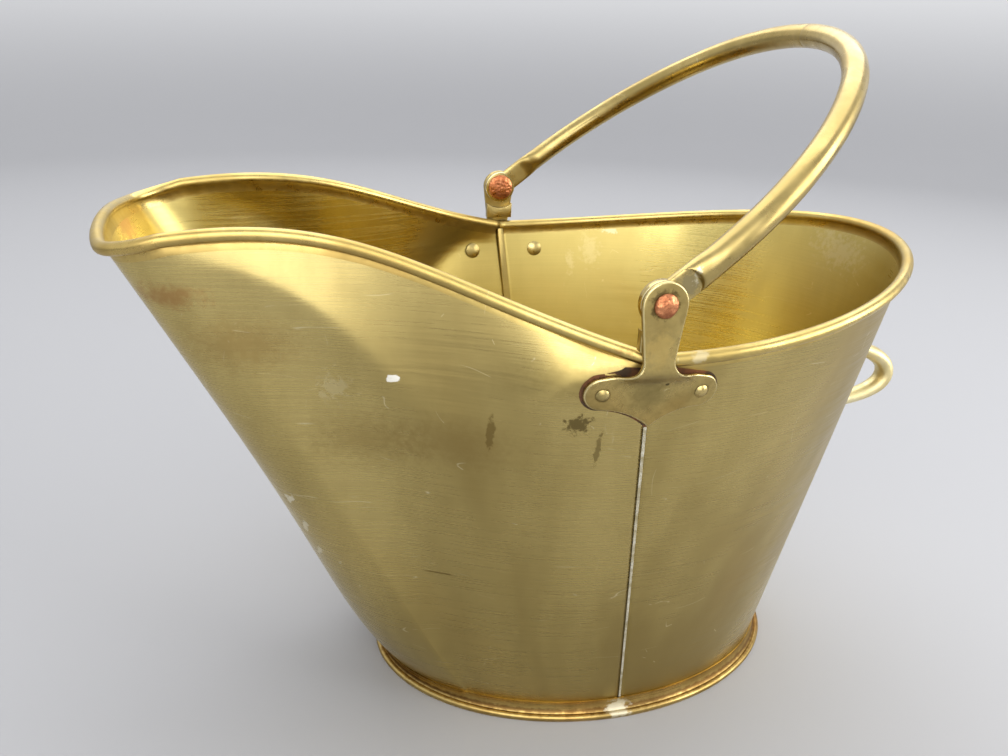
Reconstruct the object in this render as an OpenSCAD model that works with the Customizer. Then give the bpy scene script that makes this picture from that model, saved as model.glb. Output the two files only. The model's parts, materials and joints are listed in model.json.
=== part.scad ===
// Helmet coal scuttle in brass sheet: an oval foot, two sheets that flare up from it to
// a wired, rolled rim, a long lip in front, a swinging bail between two riveted ears and
// a cast grip at the rear for tipping. Lengths are in millimetres and angles in degrees.
// The lip points along -X, the rear grip along +X, and left_ pieces lie on the -Y side.
// The origin is on the floor, in the mirror plane, midway between the lip and the grip.

/* [Foot] */
// Length of the wall's oval where it meets the foot
foot_len = 270; // [250:1:285]
// Width of the wall's oval where it meets the foot
foot_w = 194; // [180:1:205]
// Height of the lower edge of the wall above the floor
wall_foot_z = 5; // [4:0.5:7]
// Height of the coved foot ring
foot_ring_h = 12; // [10:0.5:14]
// How far the coved foot ring spreads beyond the wall
foot_spread = 5.5; // [4.5:0.5:7]
// Radius of the round bead along the edge of the foot
foot_bead_r = 2.2; // [1.8:0.1:2.4]
// Height of the oval base plate's underside above the floor
base_z = 7; // [6:0.5:8.5]
// Thickness of the base plate
base_t = 1.2; // [1:0.1:1.6]

/* [Body] */
// Thickness of the brass sheet
sheet_t = 1.1; // [0.9:0.1:1.3]
// Width across the middles of the rolled rim at the ears
rim_w = 301; // [285:1:315]
// Height of the middle of the rolled rim at the ears
rim_z = 261.8; // [245:1:280]
// How far the side seams lean forward between the foot and the rim
seam_lean = 26.5; // [18:0.5:36]
// Distance from the foot's centre to the rear of the rim
rear_reach = 195.5; // [185:0.5:210]
// Height of the rim at the rear
rear_z = 288.6; // [278:0.2:298]
// How far the centre of the rear half of the rim lies in front of the foot's centre
rear_oval_x = 12; // [6:0.5:18]
// How late the rear rim climbs
rear_rise = 1.85; // [1.6:0.05:2.2]
// How far the front wall swells outward low down between the foot and the lip
front_belly = 6; // [0:0.5:9]
// How far the front sheet's sides swell outward below the rim
side_swell = 16; // [12:0.5:18]

/* [Lip] */
// Distance from the foot's centre to the front edge of the lip
lip_reach = 285.5; // [270:0.5:305]
// Height of the lip at the middle of its front edge
lip_z = 303.7; // [292:0.5:314]
// Half the length of the lip's gently bowed front edge
lip_edge_half = 58; // [48:1:64]
// How far the front edge bows forward of its corners
lip_bow = 6; // [3:0.5:10]
// Height of the lip's corners below the middle of its front edge
lip_corner_drop = 2.4; // [0:0.2:5]
// Length of each rounded corner of the lip along the scuttle
lip_corner_len = 29; // [24:1:34]
// Width of the spout behind the lip's corners
spout_w = 153.6; // [142:1:164]
// Height of the spout's sides where the lip's corners end
spout_z = 307.8; // [300:0.2:316]
// Length over which each side of the spout runs on before it flares
spout_run = 96; // [80:1:110]
// How far each side of the spout would climb over that length
spout_climb = 13; // [8:0.5:18]
// Length over which the rim flares out toward the ears
flare_run = 101; // [85:1:115]
// Spread of the rim over that length
flare_spread = 50; // [40:1:60]
// Fall of the rim over that length
flare_fall = 26; // [20:0.5:32]

/* [Rolled rim] */
// Radius of the roll along the rim
roll_r = 3.5; // [3.2:0.1:4]
// Radius of the steel wire inside the roll
wire_r = 2.1; // [1.7:0.1:2.1]

/* [Seams] */
// Width of the folded seam inside the scuttle
fold_w = 5.6; // [4:0.1:7]
// Thickness of the folded seam inside the scuttle
fold_t = 1.3; // [1:0.1:1.8]
// Width of the solder line outside the scuttle
solder_w = 1.6; // [1.2:0.1:2.4]
// Thickness of the solder line
solder_t = 0.4; // [0.3:0.1:0.7]

/* [Ears] */
// Thickness of each ear
ear_t = 3; // [2.5:0.1:3.5]
// Radius of the round eye at the top of each ear
eye_r = 11.6; // [11:0.1:13]
// Width of each ear's waist, where it passes the rim
ear_waist_w = 16.2; // [15:0.2:19]
// Distance between the two rivets of an ear
ear_rivet_pitch = 51; // [48:0.5:54]
// How far the middle between those rivets lies behind the pivot
ear_rivet_shift = 2.5; // [0:0.1:4]
// Depth of the ear's rivets below the pivot
ear_rivet_drop = 47.7; // [46:0.1:51]
// Radius of the round lobe about each rivet
lobe_r = 9; // [8:0.1:10]
// Slope of the lobes' upper edges, rising toward the waist
ear_slope = 11; // [0:1:16]
// Radius of the hollow shoulder between the waist and each of those edges
ear_shoulder_r = 5.5; // [4:0.5:8]
// Depth of the ear's lower point below the pivot
ear_point_drop = 67.5; // [62:0.5:73]
// Width of the thicker block on the inner face of the ear, above the rim
ear_block_w = 22; // [20:0.5:24]
// Gap between the rolled rim and that block
ear_block_gap = 2.6; // [1.5:0.1:4]
// Radius of the block's hollow top about the pivot axis
ear_block_hollow_r = 15.8; // [14.5:0.1:17]
// Clearance between an ear and the roll that it passes
ear_roll_gap = 0.2; // [0.15:0.05:0.8]

/* [Rivets] */
// Radius of the shank of an ear rivet
ear_shank_r = 2.4; // [2:0.1:2.8]
// Radius of the outer head of an ear rivet
ear_head_r = 3.4; // [3.2:0.1:4.2]
// Radius of the inner head of an ear rivet
ear_inner_head_r = 5.5; // [5:0.1:6.5]
// Radius of the shank of a pivot rivet
pivot_shank_r = 3.2; // [2.8:0.1:4]
// Radius of the outer head of a pivot rivet
pivot_head_r = 6.1; // [5.5:0.1:7]
// Radius of the inner head of a pivot rivet
pivot_inner_head_r = 9.3; // [8:0.1:10]

/* [Bail] */
// Radius of the bail's tube
bail_r = 7; // [6.5:0.1:7.5]
// Distance from the pivot axis to the middle of the tube at the bail's top
bail_reach = 191.5; // [184:0.5:196]
// Radius of the arc across the bail's top
bail_apex_r = 138.5; // [125:0.5:145]
// Length of each straight leg of the bail, from the pivot axis
bail_leg = 23; // [22:0.5:30]
// Distance from the pivot axis to the place where the tube is fully round
bail_round = 37; // [34:0.5:44]
// Height of the pivot axis above the rim at the ears
pivot_rise = 29.4; // [28:0.2:32]
// Distance of the pivot axis behind the top of the seams
pivot_behind_seam = 0.7; // [0:0.1:3]
// Angle of the resting bail above the horizontal, leaning to the rear
bail_rest = 37.6; // [30:0.1:60]
// Thickness of the flattened ends of the bail
paddle_t = 4.4; // [3.8:0.1:5]
// Radius of the round, flattened ends of the bail
paddle_r = 11.2; // [10.5:0.1:12]
// Width of the flat tongue between each round end and the tube
tongue_w = 15.2; // [14:0.2:17]
// Distance from the pivot axis to the place where the flat of a tongue ends
tongue_len = 21.5; // [18:0.5:22]

/* [Rear grip] */
// Height of the upper root of the grip on the rear wall
grip_top_z = 208; // [200:1:215]
// Height of the lower root of the grip
grip_low_z = 160; // [152:1:166]
// How far the grip stands out behind the wall
grip_reach = 62; // [54:0.2:68]
// Half width of the grip across its middle
grip_half_w = 7.6; // [6.5:0.1:9]
// Half thickness of the grip at its middle
grip_half_t = 5.6; // [4.8:0.1:6.4]
// Share of that width and thickness left at the grip's roots
grip_taper = 0.7; // [0.6:0.02:0.85]
// Radius of the round pads at the grip's roots
grip_pad_r = 10; // [9:0.5:11.5]
// Thickness of those pads
grip_pad_t = 2.6; // [2:0.1:3.2]

/* [Clearances] */
// Gap between fixed pieces that lie face to face
seat_gap = 0.15; // [0.1:0.01:0.25]
// Gap between the moving bail and what lies beside it
side_gap = 0.3; // [0.2:0.05:0.5]
// Radial clearance of the bail on its pivot rivets
pivot_clearance = 0.09; // [0.05:0.01:0.1]

/* [Hidden] */

BRASS = "#b09a4a";
BRIGHT_BRASS = "#cdb765";
SOLDER = "#9c9a8c";
STEEL = "#8d9093";
COPPER = "#b5694a";

LEFT = -1;
RIGHT = 1;
SEAM = "seam";

// Counts of stations along the rim, levels up the wall and steps round the curl
LIP_STEPS = 4;
CORNER_STEPS = 5;
SIDE_STEPS = 14;
REAR_STEPS = 15;
FRONT_LEVELS = 16;
REAR_LEVELS = 5;
CURL_STEPS = 10;

// Angles round the foot oval, from the front, that the ends of the lip's parts run down to
LIP_EDGE_FOOT = 20;
LIP_CORNER_FOOT = 48;
SEAM_FOOT = 90;
// How late the long side of the front sheet sweeps round the foot toward the seam
SIDE_SWEEP = 3;

// Angles round the wire, 0 outward and 90 up, where the curl leaves the wall and where it ends
CURL_START = 235;
CURL_END = -95;
SHELL_GAP = 0.3;
HEAD_OVERLAP = 0.1;
TINY = 0.01;
// Slope at which the hollow wall's facets rise from the middle of a rivet's inner head
WALL_HOLLOW_SLOPE = 0.12;

foot_a = foot_len / 2;
foot_b = foot_w / 2;
curl_inner_r = roll_r - sheet_t;

// ---------- vectors and curves ----------

function unit(v) = v / norm(v);
function mix(a, b, t) = a * (1 - t) + b * t;
function flat_list(l) = [for (row = l) each row];
function reversed(l) = [for (i = [len(l) - 1 : -1 : 0]) l[i]];

// Point at t on the cubic curve with four control points
function cubic(c, t) =
    let (s = 1 - t)
    s * s * s * c[0] + 3 * s * s * t * c[1] + 3 * s * t * t * c[2] + t * t * t * c[3];

// ---------- the middle of the rolled rim, on the +Y side ----------

rear_a = rear_reach + rear_oval_x;
rear_seam_angle = 90 + asin((seam_lean - rear_oval_x) / rear_a);

function rear_rim(angle) =
    let (
        x = rear_a * cos(angle) - rear_oval_x,
        share = max(0, (x + seam_lean) / (rear_reach + seam_lean))
    )
    [x, rim_w / 2 * sin(angle), rim_z + (rear_z - rim_z) * pow(share, rear_rise)];

seam_top = rear_rim(rear_seam_angle);
lip_corner = [lip_bow - lip_reach, lip_edge_half, lip_z - lip_corner_drop];
spout_start = [lip_corner[0] + lip_corner_len, spout_w / 2, spout_z];

lip_curve = [
    [-lip_reach, 0, lip_z],
    [-lip_reach, lip_edge_half * 0.48, lip_z],
    lip_corner - [lip_bow * 0.58, lip_edge_half * 0.2, 0],
    lip_corner
];
corner_curve = [
    lip_corner,
    lip_corner + [lip_bow * 0.42, lip_edge_half * 0.145, 0],
    spout_start - [lip_corner_len * 0.55, 1.6, 4.6],
    spout_start
];
side_curve = [
    spout_start,
    spout_start + [spout_run, 3, spout_climb],
    seam_top + [-flare_run, -flare_spread, flare_fall],
    seam_top
];

// ---------- stations: [middle of the roll, angle round the foot oval from the front,
// [share of the side swell, share of the wall's height at its ridge]] ----------

// The side swell keeps the wall smooth across the seam, where the rim turns in more sharply,
// and fades toward the spout. Its ridge lies close under the rim at the seam and at the spout.
SWELL_PEAK = 0.2;
RIDGE_ONSET = 0.06;
RIDGE_SKEW = 0.756;
RIDGE_HIGH = 0.965;
RIDGE_LOW = 0.75;
function swell_share(u) =
    u < SWELL_PEAK ? u / SWELL_PEAK * (2 - u / SWELL_PEAK)
    : cos(90 * (u - SWELL_PEAK) / (1 - SWELL_PEAK));
function ridge_share(u) =
    mix(RIDGE_HIGH, RIDGE_LOW,
        pow(sin(180 * pow(max(0, u - RIDGE_ONSET) / (1 - RIDGE_ONSET), RIDGE_SKEW)), 2));
function side_station(t) =
    [cubic(side_curve, t), mix(LIP_CORNER_FOOT, SEAM_FOOT, pow(t, SIDE_SWEEP)),
     [swell_share(1 - t), ridge_share(1 - t)]];
// Shares of the way from the spout to the seam; the stations lie closer beside the ear
side_shares = concat(
    [for (i = [0 : SIDE_STEPS - 2]) i / SIDE_STEPS],
    [for (i = [-1.5, -1, -0.5, 0]) 1 + i / SIDE_STEPS]
);
NO_SWELL = [0, 1];

function rear_station(t) =
    [rear_rim(rear_seam_angle * (1 - t)), mix(SEAM_FOOT, 180, t), NO_SWELL];

// Half of the front sheet, from the middle of the lip to the seam
front_half = concat(
    [for (i = [0 : LIP_STEPS - 1])
        [cubic(lip_curve, i / LIP_STEPS), LIP_EDGE_FOOT * i / LIP_STEPS, NO_SWELL]],
    [for (i = [0 : CORNER_STEPS - 1])
        [cubic(corner_curve, i / CORNER_STEPS),
         mix(LIP_EDGE_FOOT, LIP_CORNER_FOOT, i / CORNER_STEPS), NO_SWELL]],
    [for (t = side_shares) side_station(t)]
);

// Half of the rear sheet, from the seam to the middle of the rear
rear_half = [for (i = [0 : REAR_STEPS]) rear_station(i / REAR_STEPS)];

// ---------- frames: a station placed on one side of the scuttle ----------

// A frame is [roll middle, foot point, rim travel, outward at rim, up at rim, outward at foot,
// [share of the side swell, share of the height at its ridge]].
// Travel runs counter-clockwise seen from above, which is against a half's order on side 1.
function foot_point(angle, s) = [-foot_a * cos(angle), s * foot_b * sin(angle), wall_foot_z];
function foot_travel(angle, s) = -s * unit([foot_a * sin(angle), s * foot_b * cos(angle), 0]);
function rim_travel(s, step) = -s * unit([step[0], s * step[1], step[2]]);

function frame_of(middle, foot, travel, along_foot, swell) =
    let (
        rise = unit(middle - foot),
        out = unit(cross(travel, rise))
    )
    [middle, foot, travel, out, cross(out, travel), unit(cross(along_foot, rise)), swell];

// Frame of a station on side s, where step is how the rim runs on from it
function frame_at(station, step, s) =
    frame_of(
        [station[0][0], s * station[0][1], station[0][2]],
        foot_point(station[1], s),
        rim_travel(s, step),
        foot_travel(station[1], s),
        station[2]
    );

// Frames of the inner stations of a half on side s
function half_frames(half, s) =
    [for (i = [1 : len(half) - 2]) frame_at(half[i], half[i + 1][0] - half[i - 1][0], s)];

// How the rim runs on at the seam: the mean of the front's and the rear's directions
seam_step = unit(seam_top - side_station(1 - TINY)[0]) + unit(rear_station(TINY)[0] - seam_top);

// Frame at the seam on side s, moved along the rim by d
function seam_frame(s, d) =
    let (f = frame_at([seam_top, SEAM_FOOT, NO_SWELL], seam_step, s))
    concat([f[0] + f[2] * d, f[1] + f[2] * d], [for (i = [2 : len(f) - 1]) f[i]]);

// Frame in the mirror plane, where travel runs along Y
function middle_frame(station, travel) =
    frame_of(station[0], foot_point(station[1], RIGHT), travel, travel, NO_SWELL);

front_frames = concat(
    [seam_frame(RIGHT, SHELL_GAP / 2)],
    reversed(half_frames(front_half, RIGHT)),
    [middle_frame(front_half[0], [0, -1, 0])],
    half_frames(front_half, LEFT),
    [seam_frame(LEFT, -SHELL_GAP / 2)]
);
rear_frames = concat(
    [seam_frame(LEFT, SHELL_GAP / 2)],
    half_frames(rear_half, LEFT),
    [middle_frame(rear_half[REAR_STEPS], [0, 1, 0])],
    reversed(half_frames(rear_half, RIGHT)),
    [seam_frame(RIGHT, -SHELL_GAP / 2)]
);

// ---------- the wall between foot and rim ----------

function wall_top(f) =
    f[0] + (roll_r - sheet_t / 2) * (cos(CURL_START) * f[3] + sin(CURL_START) * f[4]);
function wall_share(f, z) = (z - wall_foot_z) / (wall_top(f)[2] - wall_foot_z);
function wall_out(f, t) = unit(mix(f[5], f[3], t));

// Swelling of the wall at a share t of its height, 0 at foot and rim. The front's belly is
// greatest a sixth of the way up. The sides swell evenly up to a soft ridge and turn in above
// it, and the ridge lies lowest where they swell most.
BELLY_POWER = 5;
BELLY_PEAK = pow(BELLY_POWER, BELLY_POWER) / pow(BELLY_POWER + 1, BELLY_POWER + 1);
RIDGE_SOFTNESS = 0.22;
function soft_min(a, b) =
    max(0, (a + b - sqrt((a - b) * (a - b) + RIDGE_SOFTNESS * RIDGE_SOFTNESS)) / 2);
function ridge_swell(share, ridge, t) =
    share == 0 ? 0 : side_swell * share * soft_min(t / ridge, (1 - t) / (1 - ridge));
function belly(f, t) =
    front_belly * max(0, -f[1][0] / foot_a) * t * pow(1 - t, BELLY_POWER) / BELLY_PEAK
    + ridge_swell(f[6][0], f[6][1], t);

// Point a share t up the wall's middle surface, moved outward by off
function wall_point(f, t, off) =
    mix(f[1], wall_top(f), t) + wall_out(f, t) * (off + belly(f, max(0, t)));

// Point of the curl round the wire at an angle
function curl_point(f, angle, r) = f[0] + r * (cos(angle) * f[3] + sin(angle) * f[4]);

// One face of the sheet, from the foot up the wall and round the curl
function sheet_face(f, off, r, levels) = concat(
    [for (k = [0 : levels - 1]) wall_point(f, k / levels, off)],
    [for (k = [0 : CURL_STEPS]) curl_point(f, mix(CURL_START, CURL_END, k / CURL_STEPS), r)]
);

// Station of the front or rear half whose rim point lies at x, and its frame on the +Y side
function front_share(x, low = 0, high = 1, turns = 16) =
    let (middle = (low + high) / 2)
    turns == 0 ? middle
    : cubic(side_curve, middle)[0] < x ? front_share(x, middle, high, turns - 1)
    : front_share(x, low, middle, turns - 1);
function rear_share(x) = 1 - acos((x + rear_oval_x) / rear_a) / rear_seam_angle;

function frame_near_seam(x) =
    abs(x - seam_top[0]) < TINY ? seam_frame(RIGHT, 0)
    : x < seam_top[0]
    ? let (t = front_share(x))
      frame_at(side_station(t), side_station(t + TINY)[0] - side_station(t - TINY)[0], RIGHT)
    : let (t = rear_share(x))
      frame_at(rear_station(t), rear_station(t + TINY)[0] - rear_station(t - TINY)[0], RIGHT);

// Point off the wall's middle surface on the +Y side at height z, below the rim point at x
function below_rim(x, z, off) =
    let (f = frame_near_seam(x))
    wall_point(f, wall_share(f, z), off);

// The same at a place that lies at x and z itself, at height z on the seam, and the normal
function near_seam(x, z, off) =
    let (
        first = below_rim(x, z, off),
        second = below_rim(2 * x - first[0], 2 * z - first[2], off)
    )
    below_rim(3 * x - first[0] - second[0], 3 * z - first[2] - second[2], off);
function on_seam(z, off) =
    below_rim(seam_top[0], 2 * z - below_rim(seam_top[0], z, off)[2], off);
function normal_near_seam(x, z) =
    unit(cross(
        near_seam(x, z + 1, 0) - near_seam(x, z - 1, 0),
        near_seam(x + 1, z, 0) - near_seam(x - 1, z, 0)
    ));

// ---------- solids from rows of points ----------

// Two triangles between four corners of a grid
function quad(a, b, c, d) = [[a, b, c], [a, c, d]];

// A sheet between two grids of the same size, closed along all four edges
module thick_sheet(outer, inner) {
    rows = len(outer);
    cols = len(outer[0]);
    n = rows * cols;
    faces = concat(
        [for (i = [0 : rows - 2], k = [0 : cols - 2])
            each quad(i * cols + k, i * cols + k + 1, (i + 1) * cols + k + 1, (i + 1) * cols + k)],
        [for (i = [0 : rows - 2], k = [0 : cols - 2])
            each quad(n + i * cols + k, n + (i + 1) * cols + k,
                n + (i + 1) * cols + k + 1, n + i * cols + k + 1)],
        [for (i = [0 : rows - 2], k = [0, cols - 1])
            each let (
                a = i * cols + k,
                b = a + cols
            )
            k == 0 ? quad(a, b, n + b, n + a) : quad(a, n + a, n + b, b)],
        [for (k = [0 : cols - 2], i = [0, rows - 1])
            each let (
                a = i * cols + k,
                b = a + 1
            )
            i == 0 ? quad(a, n + a, n + b, b) : quad(a, b, n + b, n + a)]
    );
    polyhedron(points = concat(flat_list(outer), flat_list(inner)), faces = faces, convexity = 10);
}

// A bar through closed rings of points; an open bar gets its two ends
module ring_bar(rings, closed = false) {
    count = len(rings);
    sides = len(rings[0]);
    last = closed ? count - 1 : count - 2;
    faces = concat(
        [for (i = [0 : last], k = [0 : sides - 1])
            let (
                j = (i + 1) % count,
                m = (k + 1) % sides
            )
            each quad(i * sides + k, j * sides + k, j * sides + m, i * sides + m)],
        closed ? [] : [
            [for (k = [0 : sides - 1]) k],
            [for (k = [sides - 1 : -1 : 0]) (count - 1) * sides + k]
        ]
    );
    polyhedron(points = flat_list(rings), faces = faces, convexity = 10);
}

// Turns +Z to a direction and moves the origin to a point
module at(point, direction) {
    translate(point)
        rotate([0, acos(direction[2] / norm(direction)), atan2(direction[1], direction[0])])
            children();
}

// A low dome on a round foot of radius r
module dome(r, h) {
    ball_r = (r * r + h * h) / (2 * h);
    steps = 8;
    rotate_extrude($fn = 48)
        polygon(concat([[0, 0]], [for (i = [0 : steps])
            let (x = r * (1 - i / steps))
            [x, sqrt(ball_r * ball_r - x * x) - ball_r + h]]));
}

// Everything is laid out from the foot's centre and moved to the origin of the whole
module place() {
    translate([-middle_x, 0, 0])
        children();
}

module mirror_to(s) {
    mirror([0, s < 0 ? 1 : 0, 0])
        children();
}

// ---------- derived sizes ----------

pivot = [seam_top[0] + pivot_behind_seam, 0, rim_z + pivot_rise];
ear_plane = rim_w / 2 + roll_r + ear_roll_gap;
ear_outer = ear_plane + ear_t;
paddle_outer = ear_plane - side_gap;
paddle_inner = paddle_outer - paddle_t;
ear_rivet_z = pivot[2] - ear_rivet_drop;
ear_low_z = pivot[2] - ear_point_drop;
ear_block_corner = sqrt(pow(ear_block_hollow_r, 2) - pow(ear_block_w / 2, 2));
ear_shank_hole_r = ear_shank_r + 0.1;
// A flat inner head stands off the hollow wall at its middle, and nears it at its edge
inner_head_h = 1.3;
head_seat = seat_gap + ear_inner_head_r * WALL_HOLLOW_SLOPE;
pivot_hole_r = pivot_shank_r + pivot_clearance;

grip_mid_z = (grip_top_z + grip_low_z) / 2;
rear_frame = middle_frame(rear_half[REAR_STEPS], [0, 1, 0]);
function rear_wall(z, off) = wall_point(rear_frame, wall_share(rear_frame, z), off);
rear_out = wall_out(rear_frame, wall_share(rear_frame, grip_mid_z));
grip_nose_x = rear_wall(grip_mid_z, sheet_t / 2)[0] + grip_reach;
middle_x = (grip_nose_x - lip_reach - roll_r) / 2;

// ---------- body sheets and rim wires ----------

module body_sheet(frames, levels) {
    thick_sheet(
        [for (f = frames) sheet_face(f, sheet_t / 2, curl_inner_r, levels)],
        [for (f = frames) sheet_face(f, -sheet_t / 2, roll_r, levels)]
    );
}

module front_shell() {
    place()
        color(BRASS)
            difference() {
                body_sheet(front_frames, FRONT_LEVELS);
                for (s = [LEFT, RIGHT])
                    mirror_to(s)
                        at_ear_rivet(-1)
                            rivet_hole();
            }
}

module rear_shell() {
    place()
        color(BRASS)
            difference() {
                body_sheet(rear_frames, REAR_LEVELS);
                for (s = [LEFT, RIGHT])
                    mirror_to(s)
                        at_ear_rivet(1)
                            rivet_hole();
                for (z = [grip_low_z, grip_top_z])
                    at_grip_root(z)
                        rivet_hole();
            }
}

module rim_wire(frames) {
    sides = 10;
    place()
        color(STEEL)
            ring_bar([for (f = frames)
                [for (k = [0 : sides - 1]) curl_point(f, -k * 360 / sides, wire_r)]]);
}

module front_rim_wire() {
    rim_wire(front_frames);
}

module rear_rim_wire() {
    rim_wire(rear_frames);
}

// ---------- seams ----------

// A strip along the seam on the +Y side, w wide, between two heights and two offsets
module seam_strip(w, z_low, z_high, off_low, off_high) {
    levels = 6;
    columns = [for (d = [w / 2, 0, -w / 2]) frame_near_seam(seam_top[0] + d)];
    function face(off) = [for (f = columns)
        [for (k = [0 : levels])
            wall_point(f, mix(wall_share(f, z_low), wall_share(f, z_high), k / levels), off)]];
    thick_sheet(face(off_low), face(off_high));
}

module seam_fold(s) {
    face = -sheet_t / 2 - seat_gap;
    place()
        color(BRASS)
            mirror_to(s)
                seam_strip(fold_w, base_z + base_t + 0.5, rim_z - wire_r, face, face - fold_t);
}

module left_seam_fold() {
    seam_fold(LEFT);
}

module right_seam_fold() {
    seam_fold(RIGHT);
}

module seam_solder(s) {
    face = sheet_t / 2 + 0.1;
    place()
        color(SOLDER)
            mirror_to(s)
                seam_strip(solder_w, foot_ring_h + 0.5, pivot[2] - ear_point_drop - 1,
                    face + solder_t, face);
}

module left_seam_solder() {
    seam_solder(LEFT);
}

module right_seam_solder() {
    seam_solder(RIGHT);
}

// ---------- base and foot ----------

all_frames = concat(front_frames, rear_frames);

// Where the face that lies off from the wall's middle surface passes height z, or its foot
// below that; the wall's lowest stretch is straight
function low_wall(f, z, off) =
    let (low = wall_point(f, 0, off), high = wall_point(f, 1 / FRONT_LEVELS, off))
    mix(low, high, max(0, (z - low[2]) / (high[2] - low[2])));

module base_plate() {
    outline = [for (f = all_frames)
        let (p = low_wall(f, base_z, -sheet_t / 2 - seat_gap))
        [p[0], p[1]]];
    place()
        color(BRASS)
            translate([0, 0, base_z])
                linear_extrude(height = base_t)
                    polygon(outline);
}

// The foot ring's section: a coved sheet that ends in a round bead with a narrow flat under it
ring_t = 0.9;
bead_flat_z = 0.4;
bead_flat_half = sqrt(foot_bead_r * foot_bead_r - pow(foot_bead_r - bead_flat_z, 2));
bead_flat_angle = asin((foot_bead_r - bead_flat_z) / foot_bead_r);
cove_low = [foot_spread + foot_bead_r * cos(120), foot_bead_r * (1 + sin(120))];

// Spread of the cove's outer face at height z
function cove(z) =
    mix(seat_gap + ring_t, cove_low[0], pow((foot_ring_h - z) / (foot_ring_h - cove_low[1]), 2));

ring_section = concat(
    [for (k = [0 : 3]) let (z = mix(foot_ring_h, cove_low[1], k / 4)) [cove(z), z]],
    [for (a = [120, 80, 40, 0, -bead_flat_angle, bead_flat_angle - 180, 170])
        [foot_spread + foot_bead_r * cos(a), foot_bead_r * (1 + sin(a))]],
    [for (k = [3 : -1 : 0]) let (z = mix(foot_ring_h, cove_low[1], k / 4)) [cove(z) - ring_t, z]]
);

// A point of the ring, o outward from the wall's outer face at height z
function ring_point(f, o, z) =
    let (
        p = low_wall(f, z, sheet_t / 2),
        out = unit([f[5][0], f[5][1], 0])
    )
    [p[0] + out[0] * o, p[1] + out[1] * o, z];

module foot_ring() {
    flat_outline = function (o) [for (f = all_frames)
        let (p = ring_point(f, o, 0))
        [p[0], p[1]]];
    place()
        color(BRIGHT_BRASS) {
            ring_bar([for (f = all_frames)
                [for (q = ring_section) ring_point(f, q[0], q[1])]], closed = true);
            linear_extrude(height = bead_flat_z)
                difference() {
                    polygon(flat_outline(foot_spread + bead_flat_half));
                    polygon(flat_outline(foot_spread - bead_flat_half));
                }
        }
}

// ---------- ears and their rivets, laid out on the +Y side ----------

// Distances to each side of the ear's middle line: the waist's edge, the end of the neck's
// crank past the roll, and on to just beyond the lobes
ear_waist_half = ear_waist_w / 2 + ear_rivet_shift;
crank_half = ear_waist_half + ear_shoulder_r + 2;
ear_half = ear_rivet_pitch / 2 + lobe_r + 3;
ear_side_columns = [ear_waist_half, crank_half, mix(crank_half, ear_half, 0.5), ear_half];
ear_columns = concat(
    [for (d = reversed(ear_side_columns)) ear_rivet_shift - d],
    [SEAM],
    [for (d = ear_side_columns) ear_rivet_shift + d]
);
ear_bend_high = rim_z - roll_r;
ear_bend_low = ear_bend_high - 10;
ear_outline_top = pivot[2] + eye_r + 2;

// How far a column of the ear follows the neck's crank, from 0 at the lobes to 1 at the waist
function crank_share(d) =
    min(1, max(0, (crank_half - abs(d - ear_rivet_shift)) / (crank_half - ear_waist_half)));

// Inner or outer face of the ear's plate, up one column d behind the pivot or up the seam
function ear_column(d, thick) =
    let (
        face = sheet_t / 2 + seat_gap + thick,
        x = d == SEAM ? seam_top[0] : pivot[0] + d,
        plane = [x, ear_plane + thick],
        seated = [for (z = [ear_low_z - 6, mix(ear_low_z, ear_rivet_z, 0.5), ear_rivet_z])
            d == SEAM ? on_seam(z, face) : near_seam(x, z, face)],
        rise = (seated[2] - seated[1]) / (seated[2][2] - seated[1][2]),
        high = seated[2] + rise * (ear_bend_high - ear_rivet_z),
        bend = mix([high[0], high[1]], plane, d == SEAM ? 1 : crank_share(d))
    )
    concat(
        seated,
        [seated[2] + rise * (ear_bend_low - ear_rivet_z), [bend[0], bend[1], ear_bend_high]],
        [for (z = [rim_z + roll_r, ear_outline_top]) [plane[0], plane[1], z]]
    );

// The ear's outline, seen square from the side with the pivot at the origin
module ear_outline() {
    waist = ear_waist_w / 2;
    waist_drop = pivot_rise - roll_r;
    // A straight edge from the waist runs a hair inside the place where it would touch the eye
    touch = atan2(-waist_drop, waist) + acos(eye_r / norm([waist, waist_drop]));
    inside_r = eye_r - 0.2;
    point_x = on_seam(ear_low_z, 0)[0] - pivot[0];
    circle(r = eye_r, $fn = 96);
    polygon([
        for (side = [1, -1]) [side * inside_r * cos(touch), inside_r * sin(touch)],
        [-waist, -waist_drop],
        [-waist, -ear_rivet_drop],
        [waist, -ear_rivet_drop],
        [waist, -waist_drop]
    ]);
    for (side = [-1, 1])
        mirror([side < 0 ? 1 : 0, 0])
            ear_wing(ear_rivet_pitch / 2 + side * ear_rivet_shift, side * point_x);
}

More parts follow.
